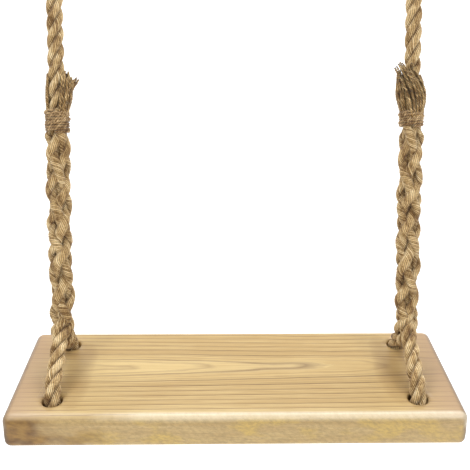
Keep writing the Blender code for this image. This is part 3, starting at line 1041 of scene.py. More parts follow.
# Each row of yarns steps round its rope by one angle, and a sine keeps its cut ends uneven.
FRINGES = {
    Side.LEFT: [
        *[Yarn(180 + 15 * k, (46 - abs(k) * 2.0) * MM, 0.2 * MM, -0.6 * MM, 0.6 * MM,
               radius=1.9 * MM, reach=9.2 * MM) for k in (-2, -1, 0, 1, 2)],
        *[Yarn(-62 + 12 * k, (44 + 4 * math.sin(k * 1.9)) * MM,
               (2.5 + 1.5 * math.sin(k * 0.7)) * MM, 0.5 * MM, 1.2 * MM, 8, radius=1.35 * MM)
          for k in range(13)],
        *[Yarn(-46 + 13 * k, (40 + 4 * math.sin(k * 2.3)) * MM, 3.4 * MM, 0.9 * MM, 2.6 * MM, 10,
               radius=1.35 * MM, reach=10.8 * MM) for k in range(8)],
        *[Yarn(-40 + 11 * k, (39 + 2.5 * math.sin(k * 1.7)) * MM,
               (10 + 1.5 * math.sin(k * 2.1)) * MM, 1.0 * MM, 1.2 * MM, 6, curl=2.8,
               reach=10.6 * MM) for k in range(7)],
    ],
    Side.RIGHT: [
        *[Yarn(-196 + 9 * k, (47 + 3 * math.sin(k * 2.1)) * MM, -2.2 * MM, 2.4 * MM, 2.4 * MM, -4)
          for k in range(7)],
        *[Yarn(-100 + 9 * k, (53 + 4 * math.sin(k * 1.7)) * MM, (-12 + 2.5 * math.sin(k)) * MM,
               1.0 * MM, 3.4 * MM, -30, curl=2.2) for k in range(10)],
        *[Yarn(-100 + 16 * k, (51 + 4 * math.sin(k * 1.3)) * MM, -12 * MM, 2.2 * MM, 4.0 * MM, -30,
               curl=2.0, radius=1.5 * MM, reach=11.4 * MM) for k in range(6)],
        *[Yarn(-8 + 11 * k, (43 + 3 * math.sin(k)) * MM, -1.5 * MM, 0.2 * MM, 3.4 * MM)
          for k in range(7)],
        *[Yarn(-152 + 13 * k, 46 * MM, -2.5 * MM, 0.6 * MM, 0.6 * MM, 0, reach=8.2 * MM)
          for k in range(4)],
        *[Yarn(-190 + 13 * k, (45 + 4 * math.sin(k * 2.7)) * MM, -1.6 * MM, 2.0 * MM, 3.2 * MM, -2,
               reach=11.2 * MM) for k in range(4)],
    ],
}


@dataclass
class SidePart:
    """What each sub-assembly of one side has: its side, the finishes, and how it dresses a piece."""

    side: Side
    looks: Looks

    def dressed(self, skin: Skin, name: str, finish: bpy.types.Material, body: str, slot: Slot,
                *nodes: str) -> bpy.types.Object:
        """Make a piece of a skin and dress it for this side.

        Args:
            skin: its surfaces.
            name: the piece's name, less its side.
            finish: its material.
            body: the body that it rides.
            slot: its material slot.
            nodes: the nodes that it replaces, less their side.

        Returns:
            The piece.
        """
        word = self.side.word
        piece = skin.piece(f"{word}_{name}", finish)
        return dress(piece, body, slot, *(f"{word}_{node}" for node in nodes))


@dataclass
class HangingRope(SidePart):
    """One side's rope: throat, long splice, whipping, fringe, standing part and eye."""

    seed: int
    yarns: Sequence[Yarn]
    diameter: float = 16 * MM
    splice_diameter: float = 25 * MM
    plain_pitch: float = 52 * MM     # a standing strand's length for one turn
    splice_pitch: float = 95 * MM    # the same, opened by the tails
    tail_pitch: float = 140 * MM
    plain_reach: float = 4.4 * MM    # from the rope's middle to a strand's
    splice_reach: float = 7.5 * MM
    bound_reach: float = 7.4 * MM    # a tail's, under the whipping
    weave: float = 2.2 * MM          # how far a strand rises and sinks where it crosses
    core_radius: float = 5.2 * MM
    step: float = 1.4 * MM
    start_angle: float = 0.0
    tail_angle: float = 0.0
    twine_reach: float = 11.1 * MM
    whip_turns: int = 7
    whip_slope: float = 0.0
    whip_rise: float = 0.0
    eye_radius: float = 27 * MM
    eye_tail_pitch: float = 70 * MM
    eye_twine: float = 1.5 * MM
    eye_twine_reach: float = 15.6 * MM
    eye_whip_turns: int = 6
    knuckle_reach: float = 9 * MM
    knuckle_pitch: float = 46 * MM
    fibres: int = 1700
    throat_clear: float = 22 * MM    # no loose fibres this near the throat
    hook_clear: float = 6 * MM       # nor this near the top of the eye whipping

    def __post_init__(self) -> None:
        """Read the heights of the side's nodes."""
        word = self.side.word
        box = {node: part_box(f"{word}_{node}") for node in
               ("rope_throat", "long_splice", "tail_whipping", "standing_rope", "eye_splice",
                "eye_whipping", "eye_thimble")}
        throat = (box["rope_throat"][0] + box["rope_throat"][1]) / 2
        self.body = f"{word}_rope"
        self.x, self.throat = throat.x, throat.z
        self.splice_top = box["long_splice"][1].z
        self.whip_bottom, self.whip_top = (corner.z for corner in box["tail_whipping"])
        self.parting = (self.whip_bottom + self.whip_top) / 2
        self.rope_top = box["standing_rope"][1].z
        self.eye_splice_top = box["eye_splice"][1].z
        self.eye_ends = box["eye_whipping"][1].z
        self.thimble = (box["eye_thimble"][0] + box["eye_thimble"][1]) / 2
        self.roots: list[Roots] = []

    def _angles(self, z: Array) -> tuple[Array, Array]:
        """Angles of the lay at heights, each the sum of 2 pi dz / pitch, the pitches wandering.

        Args:
            z: the heights.

        Returns:
            The standing strands' angle, right-handed, and the tails', left-handed.
        """
        fine = np.linspace(self.throat - 0.03, self.eye_ends, 900)
        opened = ease(self.whip_top, self.splice_top - 0.004, fine)
        pitch = self.plain_pitch + (self.splice_pitch - self.plain_pitch) * opened
        pitch = pitch * (1.0 + 0.26 * opened * wander(fine, self.seed, 0.11))
        tail_pitch = self.tail_pitch * (1.0 + 0.30 * wander(fine, self.seed + 1, 0.13))
        lay = turns(upright(fine, 0.0), pitch, self.start_angle)
        back = turns(upright(fine, 0.0), tail_pitch, self.tail_angle)
        return np.interp(z, fine, lay), -np.interp(z, fine, back)

    def _heights(self, bottom: float, top: float) -> Array:
        """Evenly spaced heights."""
        return np.linspace(bottom, top, round((top - bottom) / self.step) + 1)

    def _plain_line(self) -> Array:
        """The plain rope's own line, from under the whipping into the eye splice."""
        return upright(self._heights(self.parting, self.rope_top + 1 * MM), self.x)

    def _splice_line(self) -> Array:
        """The long splice's own line, from the throat up into the whipping."""
        return upright(self._heights(self.throat - 2 * MM, self.parting + 1 * MM), self.x)

    def _laid(self, line: Array, strand: Strand | None = None) -> RopeLay:
        """A lay round a line that stays in the plane of both ropes."""
        return RopeLay(line, np.array([0.0, 1.0, 0.0]), strand or Strand())

    def plain(self) -> bpy.types.Object:
        """Three right-handed strands from the whipping up to the eye splice.

        Returns:
            The piece.
        """
        line = self._plain_line()
        z = line[:, 2]
        lay, _ = self._angles(z)
        rope = self._laid(line)
        skin = Skin()
        for k in range(3):
            uneven = wander(z, self.seed + 10 + k, 0.08)
            reach = self.plain_reach + 0.15 * MM * uneven
            self.roots.append(rope.add(skin, lay + TAU * k / 3, reach, 1.0 + 0.03 * uneven,
                                       tone=0.2 + 0.3 * k))
        return self.dressed(skin, "plain_strands", self.looks.hemp, self.body, Slot.ROPE,
                            "standing_rope")

    def splice(self) -> bpy.types.Object:
        """The opened strands, with three left-handed tails tucked over one and under one.

        With a the standing lay's angle and b the tails', cos(3 (a - b) / 2) is 1 and -1 by turns
        where they cross: it lifts the standing strands there and sinks the tails, and back.

        Returns:
            The piece.
        """
        line = self._splice_line()
        skin = Skin()
        self._standing_strands(skin, line)
        self._tails(skin, self._heights(self.throat - 2 * MM, self.whip_top - 1 * MM))
        core = Strand(self.core_radius, self.core_radius, 9)
        skin.tube(*core.rings(line, np.broadcast_to([0.0, -1.0, 0.0], line.shape)), tone=0.9)
        return self.dressed(skin, "splice_strands", self.looks.hemp, self.body, Slot.ROPE,
                            "long_splice")

    def _standing_strands(self, skin: Skin, line: Array) -> None:
        """Add the long splice's standing strands, opened from the throat to the whipping.

        Args:
            skin: where they go.
            line: (n, 3) the splice's middle.
        """
        z = line[:, 2]
        lay, back = self._angles(z)
        over = np.cos(1.5 * (lay - back))
        bound = ease(self.splice_top - 0.004, self.splice_top + 0.004, z)
        slack = ease(self.throat - 0.004, self.throat + 0.010, z) * (1 - bound)
        rope = self._laid(line)
        for k in range(3):
            uneven = wander(z, self.seed + 20 + k, 0.07)
            lifted = self.splice_reach - self.plain_reach + self.weave * over + 0.7 * MM * uneven
            angle = lay + TAU * k / 3 + slack * 0.22 * wander(z, self.seed + 30 + k, 0.09)
            self.roots.append(rope.add(skin, angle, self.plain_reach + slack * lifted,
                                       1.0 + (0.10 + 0.07 * uneven) * slack, 0.14 * slack,
                                       tone=0.2 + 0.3 * k))

    def _tails(self, skin: Skin, z: Array) -> None:
        """Add the long splice's tails, which go on under the whipping.

        Args:
            skin: where they go.
            z: their heights.
        """
        lay, back = self._angles(z)
        over = np.cos(1.5 * (lay - back))
        bound = ease(self.splice_top - 0.003, self.splice_top + 0.004, z)
        foot = ease(self.throat - 0.004, self.throat + 0.010, z)
        rope = self._laid(upright(z, self.x))
        for k in range(3):
            uneven = wander(z, self.seed + 40 + k, 0.06)
            woven = self.splice_reach - self.weave * over + 0.8 * MM * uneven
            reach = (1 - bound) * woven + bound * self.bound_reach
            reach = self.plain_reach + foot * (reach - self.plain_reach)
            angle = back + TAU * k / 3 + foot * 0.26 * wander(z, self.seed + 50 + k, 0.08)
            swell = (1.06 + 0.08 * uneven) * (1 - 0.14 * bound)
            self.roots.append(rope.add(skin, angle, reach, swell, 0.16 + 0.10 * bound,
                                       tone=0.35 + 0.2 * k))

    def tail_whipping(self) -> bpy.types.Object:
        """Twine that binds the tails, with a loose riding turn over it.

        Returns:
            The piece.
        """
        skin = Skin()
        bottom = self.whip_bottom + self.whip_rise
        thickness = (self.whip_top - bottom) / (self.whip_turns + 1) / 2 * 1.12
        self._coil(skin, bottom, self.whip_top, self.twine_reach, self.whip_turns, thickness)
        self._coil(skin, bottom + 2 * MM, self.whip_top - 1 * MM, self.twine_reach + 1.1 * MM, 1.6,
                   thickness * 0.8, start=0.4)
        return self.dressed(skin, "tail_whipping_twine", self.looks.twine, self.body, Slot.TWINE,
                            "tail_whipping")

    def fringe(self) -> bpy.types.Object:
        """The tails' loose yarns above the whipping.

        Returns:
            The piece.
        """
        skin = Skin()
        base = self.whip_top - 10 * MM
        for k, yarn in enumerate(self.yarns):
            line, outward = yarn.line(self.x, base, self.seed + 100 + k)
            shape = Strand(yarn.radius, yarn.radius * 1.15, 4, 0.3 * MM, 11 * MM, 16)
            t = np.linspace(0.0, 1.0, len(line))
            skin.tube(*shape.rings(line, outward, 1.0 - 0.22 * t ** 4),
                      tone=0.15 + 0.7 * (k * 0.37 % 1))
            self.roots.append((line[4:] - 2.6 * MM * outward[4:], outward[4:],
                               unit(np.gradient(line, axis=0))[4:]))
        return self.dressed(skin, "frayed_tails", self.looks.frayed, self.body, Slot.ROPE,
                            "tail_fringe")

    def eye_splice(self) -> bpy.types.Object:
        """Standing strands opened by three tails, which taper off downwards.

        The weave of the long splice, its reach growing with the height above the splice's foot.

        Returns:
            The piece.
        """
        z = self._heights(self.rope_top - 1 * MM, self.eye_splice_top + 9 * MM)
        lay, _ = self._angles(z)
        back = -turns(upright(z, 0.0), self.eye_tail_pitch, self.tail_angle)
        over = np.cos(1.5 * (lay - back))
        opened = ease(self.rope_top, self.eye_splice_top - 12 * MM, z)
        rope = self._laid(upright(z, self.x))
        skin = Skin()
        for k in range(3):
            reach = self.plain_reach + opened * (2.8 * MM + 1.8 * MM * over)
            self.roots.append(rope.add(skin, lay + TAU * k / 3, reach, 1.0, 0.12 * opened,
                                       tone=0.2 + 0.3 * k))
        tucked = z > self.rope_top + 8 * MM
        tails = self._laid(upright(z[tucked], self.x))
        size = ease(self.rope_top + 2 * MM, self.rope_top + 30 * MM, z[tucked])
        for k in range(3):
            reach = 3.2 * MM + opened[tucked] * (4.4 * MM - 1.8 * MM * over[tucked])
            self.roots.append(tails.add(skin, back[tucked] + TAU * k / 3, reach,
                                        0.45 + 0.55 * size, 0.12, tone=0.35 + 0.2 * k))
        return self.dressed(skin, "eye_splice_strands", self.looks.hemp, self.body, Slot.ROPE,
                            "eye_splice")

    def eye_whipping(self) -> bpy.types.Object:
        """Twine round both parts of the rope under the thimble, wound to an oval.

        Returns:
            The piece.
        """
        skin = Skin()
        self._coil(skin, self.eye_splice_top, self.eye_ends, self.eye_twine_reach,
                   self.eye_whip_turns, self.eye_twine, across=0.68)
        return self.dressed(skin, "eye_whipping_twine", self.looks.twine, self.body, Slot.TWINE,
                            "eye_whipping")

    def _eye_line(self) -> Array:
        """The rope's line round the thimble: up one side, over it and down the other.

        The rope leaves the whipping at a fork and meets the round at its tangent from there.

        Returns:
            (n, 3) points.
        """
        fork = np.array([9.3, -36.0]) * MM
        lean = math.acos(self.eye_radius / float(np.hypot(*fork)))
        start = math.atan2(fork[1], fork[0]) + lean
        over = bend((0.0, 0.0), self.eye_radius, start, math.pi - start, 17)
        rise = np.array([[7.0, -56.0], [8.0, -47.0], [8.4, -41.0]]) * MM
        right = np.concatenate([rise, [fork], (fork + over[:1]) / 2])
        points = np.concatenate([right, over, right[::-1] * (-1, 1)])
        line = np.stack([points[:, 0], 0 * points[:, 0], points[:, 1]], axis=1)
        return smooth_line(line + np.array(self.thimble), self.step)

    def eye_loop(self) -> bpy.types.Object:
        """Three strands laid round the thimble.

        Returns:
            The piece.
        """
        line = self._eye_line()
        rope = self._laid(line, Strand(3.9 * MM, 3.9 * MM))
        angle = turns(line, self.plain_pitch, self.start_angle)
        skin = Skin()
        for k in range(3):
            rope.add(skin, angle + TAU * k / 3, 4.1 * MM, tone=0.2 + 0.3 * k)
        return self.dressed(skin, "eye_strands", self.looks.hemp, self.body, Slot.ROPE, "eye_loop")

    def knuckle(self) -> bpy.types.Object:
        """Three short strands wound over a ball where the legs part.

        At a height h from the throat, in millimetres, a strand's share of the ball is
        (h + 6) / 22, and it lies the knuckle's reach times sqrt(1 - share^2) from the axis.

        Returns:
            The piece.
        """
        h = np.linspace(-25 * MM, 13 * MM, 36)
        share = (h + 6 * MM) / (22 * MM)
        rope = self._laid(upright(self.throat + h, self.x))
        reach = self.knuckle_reach * np.sqrt(1.0 - share ** 2)
        angle = turns(rope.line, self.knuckle_pitch, self.start_angle + 0.8)
        skin = Skin()
        for k in range(3):
            rope.add(skin, angle + TAU * k / 3, reach, 1.0 - 0.3 * share ** 2, 0.10,
                     tone=0.25 + 0.25 * k)
        body = "left_throat" if self.side is Side.LEFT else "seat"
        return self.dressed(skin, "throat_knuckle", self.looks.hemp, body, Slot.ROPE, "rope_throat")

    def _coil(self, skin: Skin, bottom: float, top: float, reach: Array | float, turns_made: float,
              thickness: float, start: float = -1.6, across: float = 1.0) -> None:
        """Wind twine round the rope: a helix whose radius and rise waver a little.

        Args:
            skin: where it goes.
            bottom: its lowest height.
            top: its highest height.
            reach: from the rope's middle to the twine's middle.
            turns_made: how often it goes round.
            thickness: half the twine's thickness.
            start: the angle where it begins.
            across: scales its depth along y, below 1 for an oval.
        """
        t = np.linspace(0.0, 1.0, int(turns_made * 44))
        angle = start + t * turns_made * TAU
        rise = bottom + thickness + t * (top - bottom - 2 * thickness)
        rise = rise + self.whip_slope * reach * np.cos(angle)
        rise = rise + 0.4 * MM * wander(t, self.seed + 3, 0.23) * np.sin(math.pi * t) ** 0.5
        reach = reach + 0.35 * MM * wander(angle / TAU, self.seed + 5, 2.3)
        line = np.stack([self.x + reach * np.cos(angle), across * reach * np.sin(angle), rise],
                        axis=1)
        outward = np.stack([np.cos(angle), np.sin(angle), 0 * angle], axis=1)
        twine = Strand(thickness, thickness, 3, 0.34 * MM, 8 * MM, 15)
        skin.tube(*twine.rings(line, outward), tone=0.4)
        self.roots.append((line[::3] - 2.4 * MM * outward[::3], outward[::3],
                           unit(np.gradient(line, axis=0))[::3]))

    def fuzz(self) -> bpy.types.Object:
        """Loose fibres over the hanging rope, clear of the throat and of the hook.

        Returns:
            The piece.
        """
        skin = Skin()
        Fuzz(self.seed + 7).grow(skin, self.roots, self.throat + self.throat_clear,
                                 self.eye_ends - self.hook_clear, self.fibres)
        return self.dressed(skin, "rope_fuzz", self.looks.fibre, self.body, Slot.ROPE)

    def build(self) -> None:
        plain, splice = self.plain(), self.splice()
        carried = [self.tail_whipping(), self.fringe(), self.eye_splice(), self.eye_whipping()]
        self.fuzz()
        self.eye_loop()
        self.knuckle()
        self._plain_line()
        self._splice_line()


@dataclass
class SeatRope(SidePart):
    """The rope of one side round the board: down through the front hole and up the rear one."""

    hanging: HangingRope
    middle: Vector
    reach: float = 4.3 * MM
    fibres: int = 420
    throat_clear: float = 26 * MM    # no loose fibres this near the throat

    def route(self) -> Array:
        """The rope's line in the world, from the throat round the board and back.

        A place (y, z) in the board's frame is turned by the seat's lean t: y cos t - z sin t
        across, and y sin t + z cos t up from the board's middle.

        Returns:
            (n, 3) points.
        """
        cos, sin = math.cos(SEAT_TILT), math.sin(SEAT_TILT)
        local = np.array([THROAT_IN_SEAT, *FRONT_LEG_ROUTE, *UNDER_RUN_ROUTE, *REAR_LEG_ROUTE,
                          THROAT_IN_SEAT])
        y, z = local.T
        world = np.stack([np.full(len(y), self.hanging.x), y * cos - z * sin,
                          self.middle.z + y * sin + z * cos], axis=1)
        return smooth_line(world, self.hanging.step)

    def build(self) -> None:
        line = self.route()
        rope = RopeLay(line, np.array([1.0, 0.0, 0.0]))
        angle = turns(line, self.hanging.plain_pitch, self.hanging.start_angle)
        strands, hairs = Skin(), Skin()
        roots = [rope.add(strands, angle + TAU * k / 3, self.reach, tone=0.2 + 0.3 * k)
                 for k in range(3)]
        loop = self.dressed(strands, "seat_strands", self.looks.hemp, "seat", Slot.ROPE,
                            "front_leg", "under_run", "rear_leg")
        Fuzz(self.hanging.seed + 9).grow(hairs, roots, -math.inf,
                                         self.hanging.throat - self.throat_clear, self.fibres)
        fuzz = self.dressed(hairs, "seat_rope_fuzz", self.looks.fibre, "seat", Slot.ROPE)


# ---------------------------------------------------------------- steel
def wire(line: Array, normal: Array, radius: float, eased: float, around: int = 32) -> Array:
    """Rings of round wire whose ends are eased by a quarter round.

    At a distance d < e from an end the radius is r - e (1 - sqrt(1 - (1 - d / e)^2)).

    Args:
        line: (n, 3) the wire's middle, in one plane.
        normal: the plane's normal.
        radius: half the wire's thickness.
        eased: e, the radius of its ends' edges.
        around: points in each ring.

    Returns:
        (m, around, 3) rings.
    """
    along = travelled(line)
    near = eased * (1.0 - np.cos(np.linspace(0.0, math.pi / 2, 6)))
    middle = np.linspace(eased, along[-1] - eased, max(2, int(along[-1] / (1.2 * MM))))
    places = np.concatenate([near[:-1], middle, along[-1] - near[:-1][::-1]])
    points = along_line(line, places)
    gap = np.clip(np.minimum(places, along[-1] - places) / eased, 0.0, 1.0)
    reach = radius - eased * (1.0 - np.sqrt(1.0 - (1.0 - gap) ** 2))
    ahead = unit(np.gradient(points, axis=0))
    upright_axis = np.broadcast_to(normal, ahead.shape)
    aside = np.cross(ahead, upright_axis)
    u = np.linspace(0.0, TAU, around, endpoint=False)[None, :, None]
    ring = np.cos(u) * upright_axis[:, None] + np.sin(u) * aside[:, None]
    return points[:, None] + reach[:, None, None] * ring


@dataclass
class Hanger(SidePart):
    """Steel of one side: the plate's bow, the snap hook with its gate, and the thimble."""

    wire_radius: float = 4 * MM
    bow_radius: float = 14 * MM
    bow_drop: float = 23 * MM
    bow_top: float = 0.3 * MM
    arch_radius: float = 15 * MM
    nose: float = 4.5 * MM
    pin_rise: float = 6.8 * MM
    eye_radius: float = 27 * MM
    groove: float = 8.3 * MM
    sheet: float = 2.2 * MM
    tongue_radius: float = 3.5 * MM
    fork_rise: float = 6.0 * MM      # from the pin to the top of the gate's fork
    fork_drop: float = 3.6 * MM
    fork_half_gap: float = 1.7 * MM
    gate_gap: float = 0.6 * MM       # between the gate and the hook's nose

    def __post_init__(self) -> None:
        """Read where the hook hangs from its node's box."""
        low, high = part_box(f"{self.side.word}_snap_hook")
        self.x = (low.x + high.x) / 2
        self.upper = high.z - self.wire_radius - self.arch_radius
        self.lower = low.z + self.wire_radius + self.arch_radius
        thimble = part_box(f"{self.side.word}_eye_thimble")
        self.eye = np.array((thimble[0] + thimble[1]) / 2)

    def _in_side_plane(self, outline: Array) -> Array:
        """An outline of (y, z) as points at the hook's x."""
        return np.stack([np.full(len(outline), self.x), outline[:, 0], outline[:, 1]], axis=1)

    def bow(self) -> bpy.types.Object:
        """U of wire under the plate, in the plane of both ropes.

        Returns:
            The piece.
        """
        crown = bend((0.0, -self.bow_drop + self.bow_radius), self.bow_radius, math.pi, TAU)
        ends = np.array([[-self.bow_radius, -self.bow_top]])
        outline = np.concatenate([ends, crown, ends * (-1, 1)])
        line = np.stack([self.x + outline[:, 0], 0 * outline[:, 0], outline[:, 1]], axis=1)
        skin = Skin()
        skin.tube(wire(line, np.array([0.0, 1.0, 0.0]), self.wire_radius, 0.5 * MM))
        return self.dressed(skin, "bow_wire", self.looks.zinc, "ceiling", Slot.GALVANISED,
                            "plate_bow")

    def hook(self) -> bpy.types.Object:
        """Oval of wire from its nose, over and down the back, to the tongue under the gate.

        Returns:
            The piece.
        """
        reach = self.arch_radius
        outline = np.concatenate([[[-reach, self.upper - self.nose]],
                                  bend((0.0, self.upper), reach, math.pi, 0.0),
                                  bend((0.0, self.lower), reach, 0.0, -math.pi),
                                  [[-reach, self.lower + 1 * MM]]])
        skin = Skin()
        skin.tube(wire(self._in_side_plane(outline), np.array([1.0, 0.0, 0.0]),
                       self.wire_radius, 0.9 * MM))
        skin.tube(self._tongue())
        return self.dressed(skin, "hook_wire", self.looks.bright, f"{self.side.word}_hook",
                            Slot.BRIGHT, "snap_hook")

    def _tongue(self) -> Array:
        """The flat tongue: a round-topped outline, thick in x, its edges eased.

        Returns:
            Its rings.
        """
        top = self.lower + self.pin_rise + 0.5 * MM
        round_top = bend((-self.arch_radius, top), self.tongue_radius, 0.0, math.pi, 17)
        foot = np.array([[-self.arch_radius - self.tongue_radius, self.lower - 3 * MM],
                         [-self.arch_radius + self.tongue_radius, self.lower - 3 * MM]])
        outline = np.concatenate([round_top, foot])
        middle = outline.mean(axis=0)
        thick = np.array([-1.3, -1.1, 1.1, 1.3]) * MM
        shrink = np.array([0.94, 1.0, 1.0, 0.94])
        rings = middle + shrink[:, None, None] * (outline - middle)
        return np.concatenate([np.broadcast_to((self.x + thick)[:, None, None],
                                               (4, len(outline), 1)), rings], axis=2)

    def gate(self) -> bpy.types.Object:
        """Round rod between the tongue and the nose, its foot forked over the tongue.

        Returns:
            The piece.
        """
        pin = self.lower + self.pin_rise
        fork, foot = pin + self.fork_rise, pin - self.fork_drop
        head = self.upper - self.nose - self.gate_gap
        rod = np.linspace(fork, head, 6)
        line = self._in_side_plane(np.stack([np.full(6, -self.arch_radius), rod], axis=1))
        skin = Skin()
        skin.tube(wire(line, np.array([1.0, 0.0, 0.0]), self.wire_radius, 0.4 * MM))
        edge = math.acos(self.fork_half_gap / self.wire_radius)
        for turn in (0.0, math.pi):
            section = bend((0.0, 0.0), self.wire_radius, -edge, edge, 21)
            spin = np.array([[math.cos(turn), math.sin(turn)], [-math.sin(turn), math.cos(turn)]])
            section = section @ spin
            middle = section.mean(axis=0)
            heights = np.array([foot, foot + 0.4 * MM, fork - 0.1 * MM, fork + 0.5 * MM])
            shrink = np.array([0.88, 1.0, 1.0, 0.98])[:, None, None]
            flat = middle + shrink * (section - middle) + (self.x, -self.arch_radius)
            tall = np.broadcast_to(heights[:, None, None], (4, len(section), 1))
            skin.tube(np.concatenate([flat, tall], axis=2))
        return self.dressed(skin, "gate_rod", self.looks.bright, f"{self.side.word}_gate",
                            Slot.BRIGHT, "snap_gate")

    def thimble(self) -> bpy.types.Object:
        """Curled sheet turned about y, its two edges rounded.

        The section runs round the sheet: bore side, one edge, groove side, the other edge.

        Returns:
            The piece.
        """
        centre = (self.eye_radius, 0.0)
        low, high = 2 * math.pi / 3, 4 * math.pi / 3
        half, mid = self.sheet / 2, self.groove + self.sheet / 2
        edges = [bend(centre, mid, a, a, 1)[0] for a in (high, low)]
        section = np.concatenate([
            bend(centre, self.groove + self.sheet, low, high, 22)[1:-1],
            bend(tuple(edges[0]), half, high, high + math.pi, 9),
            bend(centre, self.groove, high, low, 22)[1:-1],
            bend(tuple(edges[1]), half, low + math.pi, low + TAU, 9)])
        a = np.linspace(0.0, TAU, 96, endpoint=False)[:, None]
        out, across = section[None, :, 0], section[None, :, 1]
        rings = np.stack([out * np.cos(a), across + 0 * a, out * np.sin(a)], axis=2)
        skin = Skin()
        skin.tube(rings + self.eye, closed=True)
        return self.dressed(skin, "thimble_sheet", self.looks.zinc, f"{self.side.word}_rope",
                            Slot.GALVANISED, "eye_thimble")

    def build(self) -> None:
        """Make the four pieces."""
        self.bow()
        self.hook()
        self.gate()
        self.thimble()


# ---------------------------------------------------------------- board
@dataclass
class Board:
    """Thick plank with rounded corners and edges and four eased rope holes."""

    middle: Vector
    looks: Looks
    length: float = 0.455
    depth: float = 0.158
    thickness: float = 0.036
    upper_radius: float = 9 * MM
    lower_radius: float = 7 * MM
    hole_x: float = 0.183
    hole_y: float = 0.0503
    hole_radius: float = 10 * MM
    rim_radius: float = 2.5 * MM

    def _lines(self, size: float, step: float) -> Array:
        """Grid lines across a side: close together where it rounds, wide apart between.

        Args:
            size: the side's length.
            step: the distance between lines on the flat.

        Returns:
            Their places, from one end to the other.
        """
        near = 1.0 - np.sin(np.linspace(0.0, math.pi / 2, 7))
        close = size / 2 - self.upper_radius * near
        flat = np.linspace(-close[0], close[0], max(3, round(2 * close[0] / step) + 1))
        return np.concatenate([-close[::-1][:-1], flat, close[1:]])

    def _shell(self) -> tuple[Array, Array]:
        """A box of three sets of grid lines, before it is rounded.

        Returns:
            (n, 3) points and (m, 4) point numbers.
        """
        lines = [self._lines(self.length, 9 * MM), self._lines(self.depth, 9 * MM),
                 self._lines(self.thickness, 4 * MM)]
        points, quads, count = [], [], 0
        for axis in range(3):
            one, two = (axis + 1) % 3, (axis + 2) % 3
            for end in (0, -1):
                a, b = np.meshgrid(lines[one], lines[two], indexing="ij")
                face = np.empty((*a.shape, 3))
                face[..., axis] = lines[axis][end]
                face[..., one], face[..., two] = a, b
                number = count + np.arange(a.size).reshape(a.shape)
                quad = np.stack([number[:-1, :-1], number[1:, :-1], number[1:, 1:],
                                 number[:-1, 1:]], axis=2).reshape(-1, 4)
                quads.append(quad if end == -1 else quad[:, ::-1])
                points.append(face.reshape(-1, 3))
                count += a.size
        points = np.concatenate(points)
        _, first, again = np.unique(np.round(points, 7), axis=0, return_index=True,
                                    return_inverse=True)
        return points[first], again.reshape(-1)[np.concatenate(quads)]

    def _rounded(self, points: Array) -> Array:
        """Round a box: a point lies one radius off the nearest point of a core box.

        The core is the box less that radius, which eases from the lower to the upper one.

        Args:
            points: (n, 3) points on the box.

        Returns:
            (n, 3) points on the rounded board.
        """
        radius = self.lower_radius + (self.upper_radius - self.lower_radius) * ease(
            -4 * MM, 4 * MM, points[:, 2:])
        half = np.array([self.length, self.depth, self.thickness]) / 2
        nearest = np.clip(points, radius - half, half - radius)
        return nearest + radius * unit(points - nearest)

    def _hole(self, sign_x: int, sign_y: int) -> Array:
        """A hole's cutter: a bore that flares by a quarter round at each face.

        Args:
            sign_x: which end of the board.
            sign_y: which edge of the board.

        Returns:
            Its rings.
        """
        face = self.thickness / 2
        flare = self.hole_radius + self.rim_radius
        a = np.radians(np.linspace(84.0, 0.0, 7))
        rim = np.column_stack([flare - self.rim_radius * np.cos(a),
                               face - self.rim_radius + self.rim_radius * np.sin(a)])
        upper = np.concatenate([[[flare, face + 3 * MM], [flare, face + 0.2 * MM]], rim])
        profile = np.concatenate([upper * (1, -1), upper[::-1]])
        return turned(profile, 48, (sign_x * self.hole_x, sign_y * self.hole_y, 0.0))

    def _cut(self, plank: bpy.types.Object) -> bpy.types.Mesh:
        """Cut the four holes out of a plank.

        Args:
            plank: the plank, with no holes.

        Returns:
            A new mesh of the plank with its holes.
        """
        skin = Skin()
        for sign_x in (-1, 1):
            for sign_y in (-1, 1):
                skin.tube(self._hole(sign_x, sign_y))
        cutter = skin.piece("hole_cutter", self.looks.wood)
        boolean = plank.modifiers.new("holes", "BOOLEAN")
        boolean.operation = "DIFFERENCE"
        boolean.solver = "EXACT"
        boolean.object = cutter
        bpy.context.view_layer.update()
        graph = bpy.context.evaluated_depsgraph_get()
        cut = bpy.data.meshes.new_from_object(plank.evaluated_get(graph))
        plank.modifiers.clear()
        bpy.data.objects.remove(cutter, do_unlink=True)
        for name in ("groove", "tone", "lay"):
            if name in cut.attributes:
                cut.attributes.remove(cut.attributes[name])
        cut.materials.clear()
        cut.materials.append(self.looks.wood)
        return cut

    def build(self) -> None:
        """Round the shell, cut the holes, and set the board in its place."""
        points, quads = self._shell()
        mesh = bpy.data.meshes.new("plank")
        mesh.from_pydata(self._rounded(points).tolist(), [], quads.tolist())
        mesh.materials.append(self.looks.wood)
        plank = show("oiled_plank", mesh)
        plank.data = self._cut(plank)
        place = Euler((SEAT_TILT, 0.0, 0.0)).to_matrix().to_4x4()
        place.translation = self.middle
        plank.data.transform(place)
        plank.data.polygons.foreach_set("use_smooth", np.ones(len(plank.data.polygons), bool))
        plank.data.set_sharp_from_angle(angle=math.radians(50))
        dress(plank, "seat", Slot.WOOD, "seat_board")


